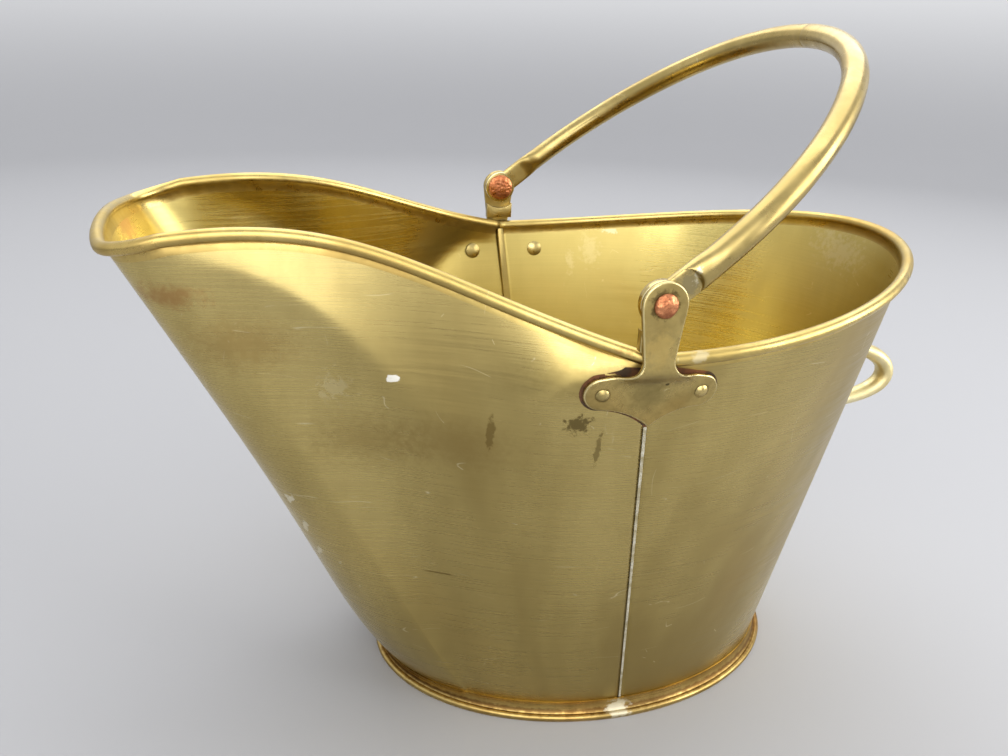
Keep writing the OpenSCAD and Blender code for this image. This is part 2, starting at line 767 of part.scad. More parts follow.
// One side of the ear's lower part: a lobe about u, and an edge swept down to the point
module ear_wing(u, point_u) {
    waist = ear_waist_w / 2;
    lobe_low = -ear_rivet_drop - lobe_r;
    lobe_edge = [u + lobe_r * sin(ear_slope), -ear_rivet_drop + lobe_r * cos(ear_slope)];
    function edge(x) = [x, lobe_edge[1] + (lobe_edge[0] - x) * tan(ear_slope)];
    run = u - point_u;
    fall = lobe_low + ear_point_drop;
    sweep_r = (run * run + fall * fall) / (2 * fall);
    hollow = edge(waist + ear_shoulder_r) + [0, ear_shoulder_r / cos(ear_slope)];
    touch = hollow - ear_shoulder_r * [-sin(ear_slope), cos(ear_slope)];
    translate([u, -ear_rivet_drop])
        circle(r = lobe_r, $fn = 96);
    polygon([edge(-1), lobe_edge, [u, lobe_low], [-1, lobe_low]]);
    // Hollow shoulder between the waist and the lobe's upper edge
    difference() {
        polygon([
            [waist - 1, hollow[1]],
            [waist, hollow[1]],
            touch,
            touch - [0, 1],
            edge(waist - 1) - [0, 1]
        ]);
        translate(hollow)
            circle(r = ear_shoulder_r, $fn = 96);
    }
    // The lower edge sweeps down to the point on the seam
    difference() {
        translate([point_u, -ear_point_drop])
            square([run, fall + 1]);
        translate([u, lobe_low - sweep_r])
            circle(r = sweep_r, $fn = 128);
    }
}

// Origin on the ear's outer face at a rivet, with +Z outward; side is -1 front, 1 rear
module at_ear_rivet(side) {
    x = pivot[0] + ear_rivet_shift + side * ear_rivet_pitch / 2;
    at(near_seam(x, ear_rivet_z, sheet_t / 2 + seat_gap + ear_t), normal_near_seam(x, ear_rivet_z))
        children();
}

module rivet_hole() {
    translate([0, 0, -12])
        cylinder(h = 24, r = ear_shank_hole_r, $fn = 32);
}

module ear(s) {
    place()
        color(BRASS)
            mirror_to(s)
                difference() {
                    union() {
                        intersection() {
                            thick_sheet(
                                [for (d = reversed(ear_columns)) ear_column(d, ear_t)],
                                [for (d = reversed(ear_columns)) ear_column(d, 0)]
                            );
                            translate([pivot[0], ear_outer + 20, pivot[2]])
                                rotate([90, 0, 0])
                                    linear_extrude(height = 60)
                                        ear_outline();
                        }
                        ear_block();
                    }
                    translate([pivot[0], ear_outer + 5, pivot[2]])
                        rotate([90, 0, 0])
                            cylinder(h = ear_t + 10, r = pivot_hole_r, $fn = 48);
                    for (side = [-1, 1])
                        at_ear_rivet(side)
                            rivet_hole();
                }
}

// The thicker part of the neck, above the roll, hollowed for the end of the bail
module ear_block() {
    low = rim_z + roll_r + ear_block_gap;
    overlap = ear_t / 2;
    translate([pivot[0], ear_plane + overlap, pivot[2]])
        rotate([90, 0, 0])
            linear_extrude(height = paddle_t + overlap)
                difference() {
                    translate([-ear_block_w / 2, low - pivot[2]])
                        square([ear_block_w, pivot[2] - low]);
                    circle(r = ear_block_hollow_r, $fn = 96);
                    translate([-ear_block_w, -ear_block_corner])
                        square([2 * ear_block_w, ear_block_hollow_r]);
                }
}

module left_ear() {
    ear(LEFT);
}

module right_ear() {
    ear(RIGHT);
}

// Inner head of a rivet through the wall, whose hollow inner face lies at the given depth,
// with the shank that runs up from it
module inner_head_and_shank(depth, rise) {
    base = -depth - head_seat;
    translate([0, 0, base])
        mirror([0, 0, 1])
            dome(ear_inner_head_r, inner_head_h);
    translate([0, 0, base - HEAD_OVERLAP])
        cylinder(h = rise - base + HEAD_OVERLAP, r = ear_shank_r, $fn = 32);
}

module ear_rivets(s) {
    head_h = 1.5;
    head_base = seat_gap;
    place()
        color(BRIGHT_BRASS)
            mirror_to(s)
                for (side = [-1, 1])
                    at_ear_rivet(side) {
                        translate([0, 0, head_base])
                            dome(ear_head_r, head_h);
                        inner_head_and_shank(ear_t + seat_gap + sheet_t, head_base + HEAD_OVERLAP);
                    }
}

module left_ear_rivets() {
    ear_rivets(LEFT);
}

module right_ear_rivets() {
    ear_rivets(RIGHT);
}

// ---------- bail and its pivot rivets ----------

bail_half_w = (paddle_outer + paddle_inner) / 2;

// Arcs of the bail in its own plane: u runs from the pivot axis, w to the side.
// A top arc and two shoulder arcs meet without a kink, and each shoulder meets a straight leg.
apex_u = bail_reach - bail_apex_r;
leg_end = [bail_leg, bail_half_w];
leg_from_apex = leg_end - [apex_u, 0];
shoulder_r = (bail_apex_r * bail_apex_r - leg_from_apex * leg_from_apex)
    / (2 * (bail_apex_r - leg_from_apex[1]));
shoulder_w = bail_half_w - shoulder_r;
apex_half_angle = atan2(-shoulder_w, apex_u - bail_leg);
round_angle = acos((bail_round - bail_leg) / shoulder_r);

// An arc of round tube about a point of the bail's plane, between two angles from u
module tube_arc(centre, r, from, to) {
    translate([centre[0], centre[1], 0])
        rotate([0, 0, from])
            rotate_extrude(angle = to - from, $fn = 180)
                translate([r, 0])
                    circle(r = bail_r, $fn = 32);
}

// A ball that takes in the ends of the top arc and a shoulder arc where they meet
module tube_joint() {
    translate([apex_u, 0, 0])
        rotate([0, 0, apex_half_angle])
            translate([bail_apex_r, 0, 0])
                rotate([90, 0, 0])
                    sphere(r = bail_r + JOINT_SWELL, $fn = 96);
}

// Rings of the taper between the flat tongue and the round tube; its ends lie inside both
TAPER_STEPS = 8;
TAPER_SIDES = 32;
TAPER_INSET = 0.04;
TUBE_OVERLAP_ANGLE = 0.6;
JOINT_SWELL = 0.04;
function taper_ring(share) =
    let (
        turn = mix(0, 90 - round_angle, share),
        round_end = [bail_leg + shoulder_r * cos(round_angle), shoulder_w + shoulder_r * sin(round_angle)],
        middle = cubic([
            [tongue_len - 0.5, bail_half_w],
            [mix(tongue_len, round_end[0], 0.4), bail_half_w],
            round_end - 0.4 * (round_end[0] - tongue_len) * [sin(round_angle), -cos(round_angle)],
            round_end
        ], share),
        swell = share * share * (3 - 2 * share),
        flat = mix(paddle_t / 2, bail_r, swell) - TAPER_INSET,
        wide = mix(tongue_w / 2, bail_r, swell) - TAPER_INSET,
        corner = mix(0.35, 1, min(1, 2 * share))
    )
    [for (k = [0 : TAPER_SIDES - 1])
        let (
            a = 360 * k / TAPER_SIDES,
            across = flat * sign(cos(a)) * pow(abs(cos(a)), corner),
            up = wide * sign(sin(a)) * pow(abs(sin(a)), corner)
        )
        [middle[0] + across * sin(turn), middle[1] + across * cos(turn), up]];

// A flattened end: a round paddle, its flat tongue and the taper that swells into the tube
module bail_end() {
    translate([0, paddle_outer, 0])
        rotate([90, 0, 0])
            linear_extrude(height = paddle_t) {
                circle(r = paddle_r, $fn = 96);
                translate([0, -tongue_w / 2])
                    square([tongue_len, tongue_w]);
            }
    ring_bar([for (i = [0 : TAPER_STEPS]) taper_ring(i / TAPER_STEPS)]);
}

module bail_handle() {
    place()
        color(BRASS)
            translate(pivot)
                rotate([0, -bail_rest, 0])
                    difference() {
                        union() {
                            tube_arc([apex_u, 0], bail_apex_r, -apex_half_angle, apex_half_angle);
                            for (s = [LEFT, RIGHT])
                                mirror_to(s) {
                                    tube_arc([bail_leg, shoulder_w], shoulder_r,
                                        apex_half_angle, round_angle + TUBE_OVERLAP_ANGLE);
                                    tube_joint();
                                    bail_end();
                                }
                        }
                        translate([0, ear_outer + 5, 0])
                            rotate([90, 0, 0])
                                cylinder(h = 2 * ear_outer + 10, r = pivot_hole_r, $fn = 48);
                    }
}

module pivot_rivet(s) {
    head_h = 2.6;
    inner_head_h = 2.4;
    length = ear_outer - paddle_inner + 2 * side_gap;
    place()
        color(COPPER)
            mirror_to(s)
                translate([pivot[0], ear_outer + seat_gap, pivot[2]])
                    rotate([-90, 0, 0]) {
                        dome(pivot_head_r, head_h);
                        translate([0, 0, -length])
                            cylinder(h = length + 0.1, r = pivot_shank_r, $fn = 48);
                        translate([0, 0, -length + 0.1])
                            mirror([0, 0, 1])
                                dome(pivot_inner_head_r, inner_head_h);
                    }
}

module left_pivot_rivet() {
    pivot_rivet(LEFT);
}

module right_pivot_rivet() {
    pivot_rivet(RIGHT);
}

// ---------- rear grip ----------

// Origin on the rear wall's outer face at height z, with +Z square out of the wall
module at_grip_root(z) {
    at(rear_wall(z, sheet_t / 2), rear_out)
        children();
}

function grip_root(z) = rear_wall(z, sheet_t / 2 + seat_gap + grip_pad_t / 2);
grip_nose = [grip_nose_x - grip_half_t, 0, grip_mid_z - 2];
grip_upper = [
    grip_root(grip_top_z),
    grip_root(grip_top_z) + [grip_reach * 0.4, 0, -4],
    grip_nose + [0, 0, 14],
    grip_nose
];
grip_lower = [
    grip_nose,
    grip_nose - [0, 0, 12],
    grip_root(grip_low_z) + [grip_reach * 0.66, 0, 3.5],
    grip_root(grip_low_z)
];

GRIP_STEPS = 11;
GRIP_SIDES = 16;
grip_path = concat(
    [for (i = [0 : GRIP_STEPS - 1]) cubic(grip_upper, i / GRIP_STEPS)],
    [for (i = [0 : GRIP_STEPS]) cubic(grip_lower, i / GRIP_STEPS)]
);

// One oval ring of the grip, thickest at its nose
function grip_ring(i) =
    let (
        n = len(grip_path) - 1,
        run = unit(grip_path[min(n, i + 1)] - grip_path[max(0, i - 1)]),
        side = cross(run, [0, 1, 0]),
        swell = mix(grip_taper, 1, sin(180 * i / n))
    )
    [for (k = [0 : GRIP_SIDES - 1])
        let (a = -360 * k / GRIP_SIDES)
        grip_path[i] + swell * (grip_half_t * cos(a) * side + [0, grip_half_w * sin(a), 0])];

module rear_grip() {
    place()
        color(BRIGHT_BRASS)
            difference() {
                union() {
                    ring_bar([for (i = [0 : len(grip_path) - 1]) grip_ring(i)]);
                    for (z = [grip_low_z, grip_top_z])
                        at_grip_root(z)
                            translate([0, 0, seat_gap])
                                cylinder(h = grip_pad_t, r = grip_pad_r, $fn = 64);
                }
                for (z = [grip_low_z, grip_top_z])
                    at_grip_root(z)
                        cylinder(h = 2 * grip_pad_t, r = ear_shank_hole_r, $fn = 32);
            }
}

module rear_grip_rivets() {
    place()
        color(BRIGHT_BRASS)
            for (z = [grip_low_z, grip_top_z])
                at_grip_root(z)
                    inner_head_and_shank(sheet_t, 2 * grip_pad_t - seat_gap);
}

front_shell();
rear_shell();
front_rim_wire();
rear_rim_wire();
left_seam_fold();
right_seam_fold();
left_seam_solder();
right_seam_solder();
base_plate();
foot_ring();
left_ear();
right_ear();
left_ear_rivets();
right_ear_rivets();
bail_handle();
left_pivot_rivet();
right_pivot_rivet();
rear_grip();
rear_grip_rivets();
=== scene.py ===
"""Dresses the helmet coal scuttle: finer sheets, foot, fittings and bail, their metal finishes,
and a plain studio round them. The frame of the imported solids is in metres; sizes of the pieces
are in millimetres unless their class says otherwise."""

import json
import logging
import math
from dataclasses import dataclass, field, replace
from enum import Enum
from typing import Callable, Sequence, Union

import bmesh
import bpy
from mathutils import Matrix, Vector, noise
from mathutils.bvhtree import BVHTree


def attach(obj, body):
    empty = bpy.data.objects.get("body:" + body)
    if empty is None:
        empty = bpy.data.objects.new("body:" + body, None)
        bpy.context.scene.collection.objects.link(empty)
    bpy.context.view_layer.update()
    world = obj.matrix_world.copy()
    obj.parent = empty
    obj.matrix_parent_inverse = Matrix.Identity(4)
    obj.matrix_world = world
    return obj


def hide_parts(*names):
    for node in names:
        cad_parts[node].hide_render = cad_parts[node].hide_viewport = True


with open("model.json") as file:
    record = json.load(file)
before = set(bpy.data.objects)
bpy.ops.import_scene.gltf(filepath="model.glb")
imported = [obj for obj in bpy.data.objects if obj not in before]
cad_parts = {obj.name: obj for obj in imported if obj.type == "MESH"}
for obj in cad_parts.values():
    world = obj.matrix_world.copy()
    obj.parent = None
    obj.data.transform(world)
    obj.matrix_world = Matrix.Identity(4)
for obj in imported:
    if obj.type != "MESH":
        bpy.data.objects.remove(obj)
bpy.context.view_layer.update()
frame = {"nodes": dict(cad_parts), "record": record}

logging.basicConfig(level=logging.INFO, format="%(message)s")
log = logging.getLogger("scuttle")

MM = 0.001
FOOT_CENTRE_X = 27.188
"""Distance of the foot's centre behind the origin, in millimetres."""
PIVOT_X = 1.388
"""Place of the bail's pivot axis along the scuttle, in millimetres of the frame."""
PIVOT_Z = 291.2
"""Height of the bail's pivot axis, in millimetres."""

Pair = tuple[float, float]
Row = tuple[float, float, float]
Socket = bpy.types.NodeSocket
Value = Union[Socket, float, Sequence[float]]


class Side(Enum):
    """The two mirrored sides of the scuttle."""

    LEFT = -1
    RIGHT = 1

    @property
    def word(self) -> str:
        """The side's word in the names of pieces."""
        return self.name.lower()


class Body(Enum):
    """The bodies of the frame that pieces ride on."""

    BUCKET = "bucket"
    BAIL = "bail"


class Slot(Enum):
    """The material slots of the record."""

    SHEET = "brass_sheet"
    FOOT = "foot_brass"
    CAST = "cast_brass"
    RIVET = "rivet_brass"
    TUBE = "tube_brass"
    GRIP = "grip_brass"
    COPPER = "copper"
    SOLDER = "solder"
    STEEL = "steel_wire"


class Grain(Enum):
    """The direction in which a surface was brushed: how fine its lines are along each axis."""

    LEVEL = (7.0, 7.0, 560.0)
    RANDOM = (90.0, 90.0, 90.0)
    ALONG_BAIL = (40.0, 14.0, 40.0)


# ---------- small helpers ----------


def mix(a: float, b: float, t: float) -> float:
    """Number a share t of the way from a to b."""
    return a * (1 - t) + b * t


def smoothstep(x: float, low: float, high: float) -> float:
    """Smooth rise from 0 at low to 1 at high."""
    t = min(1.0, max(0.0, (x - low) / (high - low)))
    return t * t * (3 - 2 * t)


def linear(hex_code: str) -> tuple[float, float, float, float]:
    """Turns a screen colour into scene values, by the standard screen curve.

    Args:
        hex_code: six hexadecimal digits.

    Returns:
        Red, green, blue and an alpha of 1, linear.
    """
    out = []
    for i in (0, 2, 4):
        c = int(hex_code[i : i + 2], 16) / 255
        out.append(c / 12.92 if c <= 0.04045 else ((c + 0.055) / 1.055) ** 2.4)
    return (out[0], out[1], out[2], 1.0)


def cubic(c: Sequence[Vector], t: float) -> Vector:
    """Point at t on the cubic curve with four control points."""
    s = 1 - t
    return c[0] * s**3 + c[1] * (3 * s * s * t) + c[2] * (3 * s * t * t) + c[3] * t**3


# ---------- the form of the body, as the solids have it ----------


@dataclass(frozen=True)
class Station:
    """One place along the rim, on the right-hand side, in millimetres from the foot's centre."""

    middle: Vector
    foot_angle: float
    swell: float = 0.0
    ridge: float = 1.0


@dataclass(frozen=True)
class Frame:
    """A station placed on one side, with its directions."""

    middle: Vector
    foot: Vector
    out: Vector
    up: Vector
    foot_out: Vector
    swell: float
    ridge: float


@dataclass(frozen=True)
class Run:
    """How far q runs along a half of the rim, and the small step that gives directions."""

    first: float
    last: float
    step: float


@dataclass(frozen=True)
class BodyForm:
    """Sizes of the foot, wall and rim in millimetres, and the curves that they give.

    A pull places a control point of the rim's curves, as a share of the size it belongs to.
    """

    foot_a: float = 135.0
    foot_b: float = 97.0
    wall_foot_z: float = 5.0
    sheet_t: float = 1.1
    rim_half: float = 150.5
    rim_z: float = 261.8
    seam_lean: float = 26.5
    rear_reach: float = 195.5
    rear_z: float = 288.6
    rear_oval_x: float = 12.0
    rear_rise: float = 1.85
    front_belly: float = 6.0
    side_swell: float = 16.0
    lip_reach: float = 285.5
    lip_z: float = 303.7
    lip_edge_half: float = 58.0
    lip_edge_pull: float = 0.48
    lip_bow: float = 6.0
    lip_corner_drop: float = 2.4
    lip_corner_len: float = 29.0
    corner_pull_in: Pair = (0.58, 0.2)
    corner_pull_out: Pair = (0.42, 0.145)
    spout_half: float = 76.8
    spout_z: float = 307.8
    spout_pull: float = 0.55
    spout_turn_in: float = 1.6
    spout_drop: float = 4.6
    spout_run: float = 96.0
    spout_spread: float = 3.0
    spout_climb: float = 13.0
    flare_run: float = 101.0
    flare_spread: float = 50.0
    flare_fall: float = 26.0
    lip_foot_angle: float = 20.0
    spout_foot_angle: float = 48.0
    seam_foot_angle: float = 90.0
    rear_foot_angle: float = 180.0
    roll_r: float = 3.5
    curl_start: float = 235.0
    curl_end: float = -95.0
    seam_gap: float = 0.12
    swell_peak: float = 0.2
    ridge_onset: float = 0.06
    ridge_skew: float = 0.756
    ridge_high: float = 0.965
    ridge_low: float = 0.75
    ridge_softness: float = 0.16
    belly_power: float = 5.0
    low_share: float = 1 / 16
    seam_step: float = 0.01
    front_run: Run = Run(0.0, 3.0, 0.02)
    rear_run: Run = Run(0.0, 1.0, 0.01)

    def rear_rim(self, angle: float) -> Vector:
        """Finds the middle of the roll on the rear half.

        Args:
            angle: angle round the rear oval, 0 at the rear.

        Returns:
            The point.
        """
        a = self.rear_reach + self.rear_oval_x
        x = a * math.cos(angle) - self.rear_oval_x
        share = max(0.0, (x + self.seam_lean) / (self.rear_reach + self.seam_lean))
        z = self.rim_z + (self.rear_z - self.rim_z) * share**self.rear_rise
        return Vector((x, self.rim_half * math.sin(angle), z))

    @property
    def seam_angle(self) -> float:
        """Angle of the seam round the rear oval."""
        a = self.rear_reach + self.rear_oval_x
        return math.pi / 2 + math.asin((self.seam_lean - self.rear_oval_x) / a)

    def front_curves(self) -> list[list[Vector]]:
        """Draws the front half of the rim, on the right-hand side.

        Returns:
            The lip's edge, its corner and the side of the spout, as cubic curves.
        """
        seam_top = self.rear_rim(self.seam_angle)
        corner = Vector(
            (self.lip_bow - self.lip_reach, self.lip_edge_half, self.lip_z - self.lip_corner_drop)
        )
        spout = Vector((corner.x + self.lip_corner_len, self.spout_half, self.spout_z))
        bow, edge = self.lip_bow, self.lip_edge_half
        before, after = self.corner_pull_in, self.corner_pull_out
        corner_run = self.lip_corner_len * self.spout_pull
        return [
            [
                Vector((-self.lip_reach, 0, self.lip_z)),
                Vector((-self.lip_reach, edge * self.lip_edge_pull, self.lip_z)),
                corner - Vector((bow * before[0], edge * before[1], 0)),
                corner,
            ],
            [
                corner,
                corner + Vector((bow * after[0], edge * after[1], 0)),
                spout - Vector((corner_run, self.spout_turn_in, self.spout_drop)),
                spout,
            ],
            [
                spout,
                spout + Vector((self.spout_run, self.spout_spread, self.spout_climb)),
                seam_top + Vector((-self.flare_run, -self.flare_spread, self.flare_fall)),
                seam_top,
            ],
        ]

    def front_station(self, q: float) -> Station:
        """Finds a station of the front half.

        Args:
            q: 0 at the middle of the lip, 1 and 2 at the ends of its corner, 3 at the seam.

        Returns:
            The station, with its share of the side swell.
        """
        curves = self.front_curves()
        part = min(2, max(0, int(q)))
        t = q - part
        middle = cubic(curves[part], t)
        if part == 0:
            return Station(middle, self.lip_foot_angle * t)
        if part == 1:
            return Station(middle, mix(self.lip_foot_angle, self.spout_foot_angle, t))
        foot_angle = mix(self.spout_foot_angle, self.seam_foot_angle, max(0.0, t) ** 3)
        from_seam = max(0.0, 1 - t)
        return Station(middle, foot_angle, self.swell_share(from_seam), self.ridge_at(from_seam))

    def swell_share(self, from_seam: float) -> float:
        """Share of the side swell at a share of the way from the seam to the spout.

        Args:
            from_seam: 0 at the seam, 1 where the lip's corner begins.

        Returns:
            The share, which rises quickly from the seam and fades toward the spout.
        """
        peak = self.swell_peak
        if from_seam < peak:
            return from_seam / peak * (2 - from_seam / peak)
        return math.cos(math.pi / 2 * (from_seam - peak) / (1 - peak))

    def ridge_at(self, from_seam: float) -> float:
        """Height of the swell's ridge, as a share of the wall's height.

        Args:
            from_seam: 0 at the seam, 1 where the lip's corner begins.

        Returns:
            The share, lowest about half way.
        """
        along = max(0.0, from_seam - self.ridge_onset) / (1 - self.ridge_onset)
        depth = math.sin(math.pi * along**self.ridge_skew) ** 2
        return mix(self.ridge_high, self.ridge_low, depth)

    def rear_station(self, q: float) -> Station:
        """Station of the rear half, q running from 0 at the seam to 1 at the rear."""
        middle = self.rear_rim(self.seam_angle * (1 - q))
        return Station(middle, mix(self.seam_foot_angle, self.rear_foot_angle, q))

    def place(self, station: Station, step: Vector, side: Side) -> Frame:
        """Sets a station up on one side.

        Args:
            station: the station to place.
            step: how the rim runs on from it, toward the rear for the front half.
            side: the side that it goes to.

        Returns:
            Its frame.
        """
        s = side.value
        angle = math.radians(station.foot_angle)
        middle = Vector((station.middle.x, s * station.middle.y, station.middle.z))
        foot = Vector(
            (-self.foot_a * math.cos(angle), s * self.foot_b * math.sin(angle), self.wall_foot_z)
        )
        travel = Vector((-s * step.x, -step.y, -s * step.z)).normalized()
        along_foot = Vector(
            (-s * self.foot_a * math.sin(angle), -self.foot_b * math.cos(angle), 0)
        ).normalized()
        rise = (middle - foot).normalized()
        out = travel.cross(rise).normalized()
        foot_out = along_foot.cross(rise).normalized()
        return Frame(
            middle, foot, out, out.cross(travel), foot_out, station.swell, station.ridge
        )

    def frame_on(
        self, find: Callable[[float], Station], q: float, run: Run, side: Side
    ) -> Frame:
        """Frame at q on a half of the rim.

        Args:
            find: gives the station at q.
            q: the place along the half.
            run: how far q runs there.
            side: the side of the scuttle.

        Returns:
            The frame at q.
        """
        ahead = find(min(run.last, q + run.step)).middle - find(q).middle
        behind = find(q).middle - find(max(run.first, q - run.step)).middle
        step = Vector((0, 0, 0))
        for part in (ahead, behind):
            if part.length > 1e-9:
                step += part.normalized()
        return self.place(find(q), step, side)

    def seam_frame(self, side: Side, shift: float) -> Frame:
        """Frame at the seam.

        Args:
            side: the side of the scuttle.
            shift: how far the frame moves along the rim, in millimetres.

        Returns:
            The frame.
        """
        e = self.seam_step
        top = self.rear_rim(self.seam_angle)
        step = (top - self.front_station(self.front_run.last - e).middle).normalized()
        step += (self.rear_station(e).middle - top).normalized()
        f = self.place(Station(top, self.seam_foot_angle), step, side)
        move = step.normalized() * shift
        move.y *= side.value
        return replace(f, middle=f.middle + move, foot=f.foot + move)

    def wall_top(self, f: Frame) -> Vector:
        """Where the wall's middle surface runs into the roll."""
        return self.curl_point(f, self.curl_start, self.roll_r - self.sheet_t / 2)

    def swelling(self, f: Frame, t: float) -> float:
        """How far the wall swells outward.

        Args:
            f: the wall's frame.
            t: share of the wall's height.

        Returns:
            The distance in millimetres, from the belly low in front and the side's swell.
        """
        p = self.belly_power
        peak = p**p / (p + 1) ** (p + 1)
        low = self.front_belly * max(0.0, -f.foot.x / self.foot_a) * t * (1 - t) ** p / peak
        if f.swell <= 0:
            return low
        a, b = t / f.ridge, (1 - t) / (1 - f.ridge)
        soft = (a + b - math.hypot(a - b, self.ridge_softness)) / 2
        return low + self.side_swell * f.swell * max(0.0, soft)

    def wall_point(self, f: Frame, t: float, off: float) -> Vector:
        """Point a share t up the wall, off millimetres outward of its middle surface."""
        out = (f.foot_out * (1 - t) + f.out * t).normalized()
        return f.foot.lerp(self.wall_top(f), t) + out * (off + self.swelling(f, max(0.0, t)))

    def low_wall(self, f: Frame, z: float, off: float) -> Vector:
        """Finds where a face of the wall's straight lowest stretch passes a height.

        Args:
            f: the wall's frame.
            z: the height.
            off: distance of the face outward of the middle surface.

        Returns:
            The point, or the face's foot for a height below that.
        """
        low = self.wall_point(f, 0, off)
        high = self.wall_point(f, self.low_share, off)
        return low.lerp(high, max(0.0, (z - low.z) / (high.z - low.z)))

    def curl_point(self, f: Frame, degrees: float, r: float) -> Vector:
        """Point of the curl round the wire at an angle, 0 outward and 90 up."""
        a = math.radians(degrees)
        return f.middle + (f.out * math.cos(a) + f.up * math.sin(a)) * r

    def frames_of_front(self, per_part: Sequence[int]) -> list[Frame]:
        """Frames of the whole front sheet, from the left seam round the lip to the right one.

        Args:
            per_part: number of stretches in the lip's edge, its corner and the spout's side.

        Returns:
            The frames.
        """
        places = [part + i / count for part, count in enumerate(per_part) for i in range(count)]
        find, run = self.front_station, self.front_run
        left = [self.frame_on(find, q, run, Side.LEFT) for q in reversed(places[1:])]
        middle = self.place(find(0), Vector((0, 1, 0)), Side.RIGHT)
        right = [self.frame_on(find, q, run, Side.RIGHT) for q in places[1:]]
        return [
            self.seam_frame(Side.LEFT, -self.seam_gap),
            *left,
            middle,
            *right,
            self.seam_frame(Side.RIGHT, -self.seam_gap),
        ]

    def frames_of_rear(self, count: int) -> list[Frame]:
        """Frames of the whole rear sheet, from the right seam round to the left one.

        Args:
            count: number of stretches on each side.

        Returns:
            The frames.
        """
        places = [i / count for i in range(1, count)]
        find, run = self.rear_station, self.rear_run
        right = [self.frame_on(find, q, run, Side.RIGHT) for q in places]
        middle = self.place(find(1), Vector((0, -1, 0)), Side.RIGHT)
        left = [self.frame_on(find, q, run, Side.LEFT) for q in reversed(places)]
        return [
            self.seam_frame(Side.RIGHT, self.seam_gap),
            *right,
            middle,
            *left,
            self.seam_frame(Side.LEFT, self.seam_gap),
        ]


def to_frame(p: Vector) -> Vector:
    """Turns millimetres from the foot's centre into metres in the frame."""
    return Vector((p.x + FOOT_CENTRE_X, p.y, p.z)) * MM


# ---------- meshes ----------


def grid_mesh(cols: int, rows: int, where: Callable[[int, int], Vector]) -> bmesh.types.BMesh:
    """Makes a net of quads whose corners are set one by one.

    Args:
        cols: number of corners one way.
        rows: number of corners the other way.
        where: gives the place of the corner at a column and a row.

    Returns:
        The mesh, with its corners in place.
    """
    bm = bmesh.new()
    bmesh.ops.create_grid(bm, x_segments=cols - 1, y_segments=rows - 1, size=0.5)
    for v in bm.verts:
        i = round((v.co.x + 0.5) * (cols - 1))
        k = round((v.co.y + 0.5) * (rows - 1))
        v.co = where(i, k)
    return bm


def add_wear(bm: bmesh.types.BMesh, worn: Callable[[bmesh.types.BMVert], float]) -> None:
    """Gives each corner its share of wear, read by the finishes.

    Args:
        bm: the mesh.
        worn: gives the wear of a corner, from 0 to 1.
    """
    layer = bm.verts.layers.float.new("wear")
    for v in bm.verts:
        v[layer] = min(1.0, max(0.0, worn(v)))


def no_wear(v: bmesh.types.BMVert) -> float:
    """Wear of a piece that nothing rubs."""
    return 0.0


def add_mesh(bm: bmesh.types.BMesh, other: bmesh.types.BMesh) -> None:
    """Adds a second mesh to a mesh.

    Args:
        bm: the mesh that grows.
        other: the mesh that is added, which is freed.
    """
    spare = bpy.data.meshes.new("spare")
    other.to_mesh(spare)
    other.free()
    bm.from_mesh(spare)
    bpy.data.meshes.remove(spare)


def everything(bm: bmesh.types.BMesh) -> list:
    """All corners, edges and faces of a mesh."""
    return [*bm.verts, *bm.edges, *bm.faces]


def finish_mesh(
    name: str,
    bm: bmesh.types.BMesh,
    materials: Sequence[bpy.types.Material],
    slot: Slot,
    body: Body = Body.BUCKET,
    stands_for: Sequence[str] = (),
    sharp_degrees: float = 40.0,
) -> bpy.types.Object:
    """Makes an object of a mesh and puts it in the frame.

    Args:
        name: the piece's name.
        bm: its mesh, which is freed.
        materials: its finishes, in the order of its faces' material numbers.
        slot: the material slot of the record that it follows; not used.
        body: the body it rides on.
        stands_for: the solids that it replaces.
        sharp_degrees: edges that turn more than this stay sharp.

    Returns:
        The new object.
    """
    limit = math.radians(sharp_degrees)
    if "wear" not in bm.verts.layers.float:
        add_wear(bm, no_wear)
    for f in bm.faces:
        f.smooth = True
    for e in bm.edges:
        e.smooth = len(e.link_faces) != 2 or e.calc_face_angle(0.0) < limit
    mesh = bpy.data.meshes.new(name)
    bm.to_mesh(mesh)
    bm.free()
    for material in materials:
        mesh.materials.append(material)
    obj = bpy.data.objects.new(name, mesh)
    bpy.context.scene.collection.objects.link(obj)
    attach(obj, body.value)
    if stands_for:
        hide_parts(*stands_for)
    log.info("%s: %d faces", name, len(mesh.polygons))
    return obj


def copy_of(node: str) -> bmesh.types.BMesh:
    """Copies a solid's mesh and welds its loose triangles.

    Args:
        node: the solid's name.

    Returns:
        The welded copy.
    """
    bm = bmesh.new()
    bm.from_mesh(frame["nodes"][node].data)
    bmesh.ops.remove_doubles(bm, verts=bm.verts, dist=2e-6)
    bmesh.ops.dissolve_degenerate(bm, dist=1e-6, edges=bm.edges)
    return bm


def soften_edges(bm: bmesh.types.BMesh, width: float, over_degrees: float, segments: int) -> None:
    """Rounds a mesh's sharp outward edges and marks the roundings as worn.

    Args:
        bm: the mesh.
        width: width of the rounding, in the mesh's own unit.
        over_degrees: only edges that turn more than this are rounded.
        segments: number of faces across the rounding.
    """
    limit = math.radians(over_degrees)
    sharp = [e for e in bm.edges if len(e.link_faces) == 2 and e.calc_face_angle_signed(0) > limit]
    made = bmesh.ops.bevel(
        bm,
        geom=sharp,
        offset=width,
        offset_type="OFFSET",
        affect="EDGES",
        segments=segments,
        profile=0.5,
        clamp_overlap=True,
        material=-1,
    )
    rounded = set(made["faces"])
    add_wear(bm, lambda v: float(bool(v.link_faces) and rounded.issuperset(v.link_faces)))


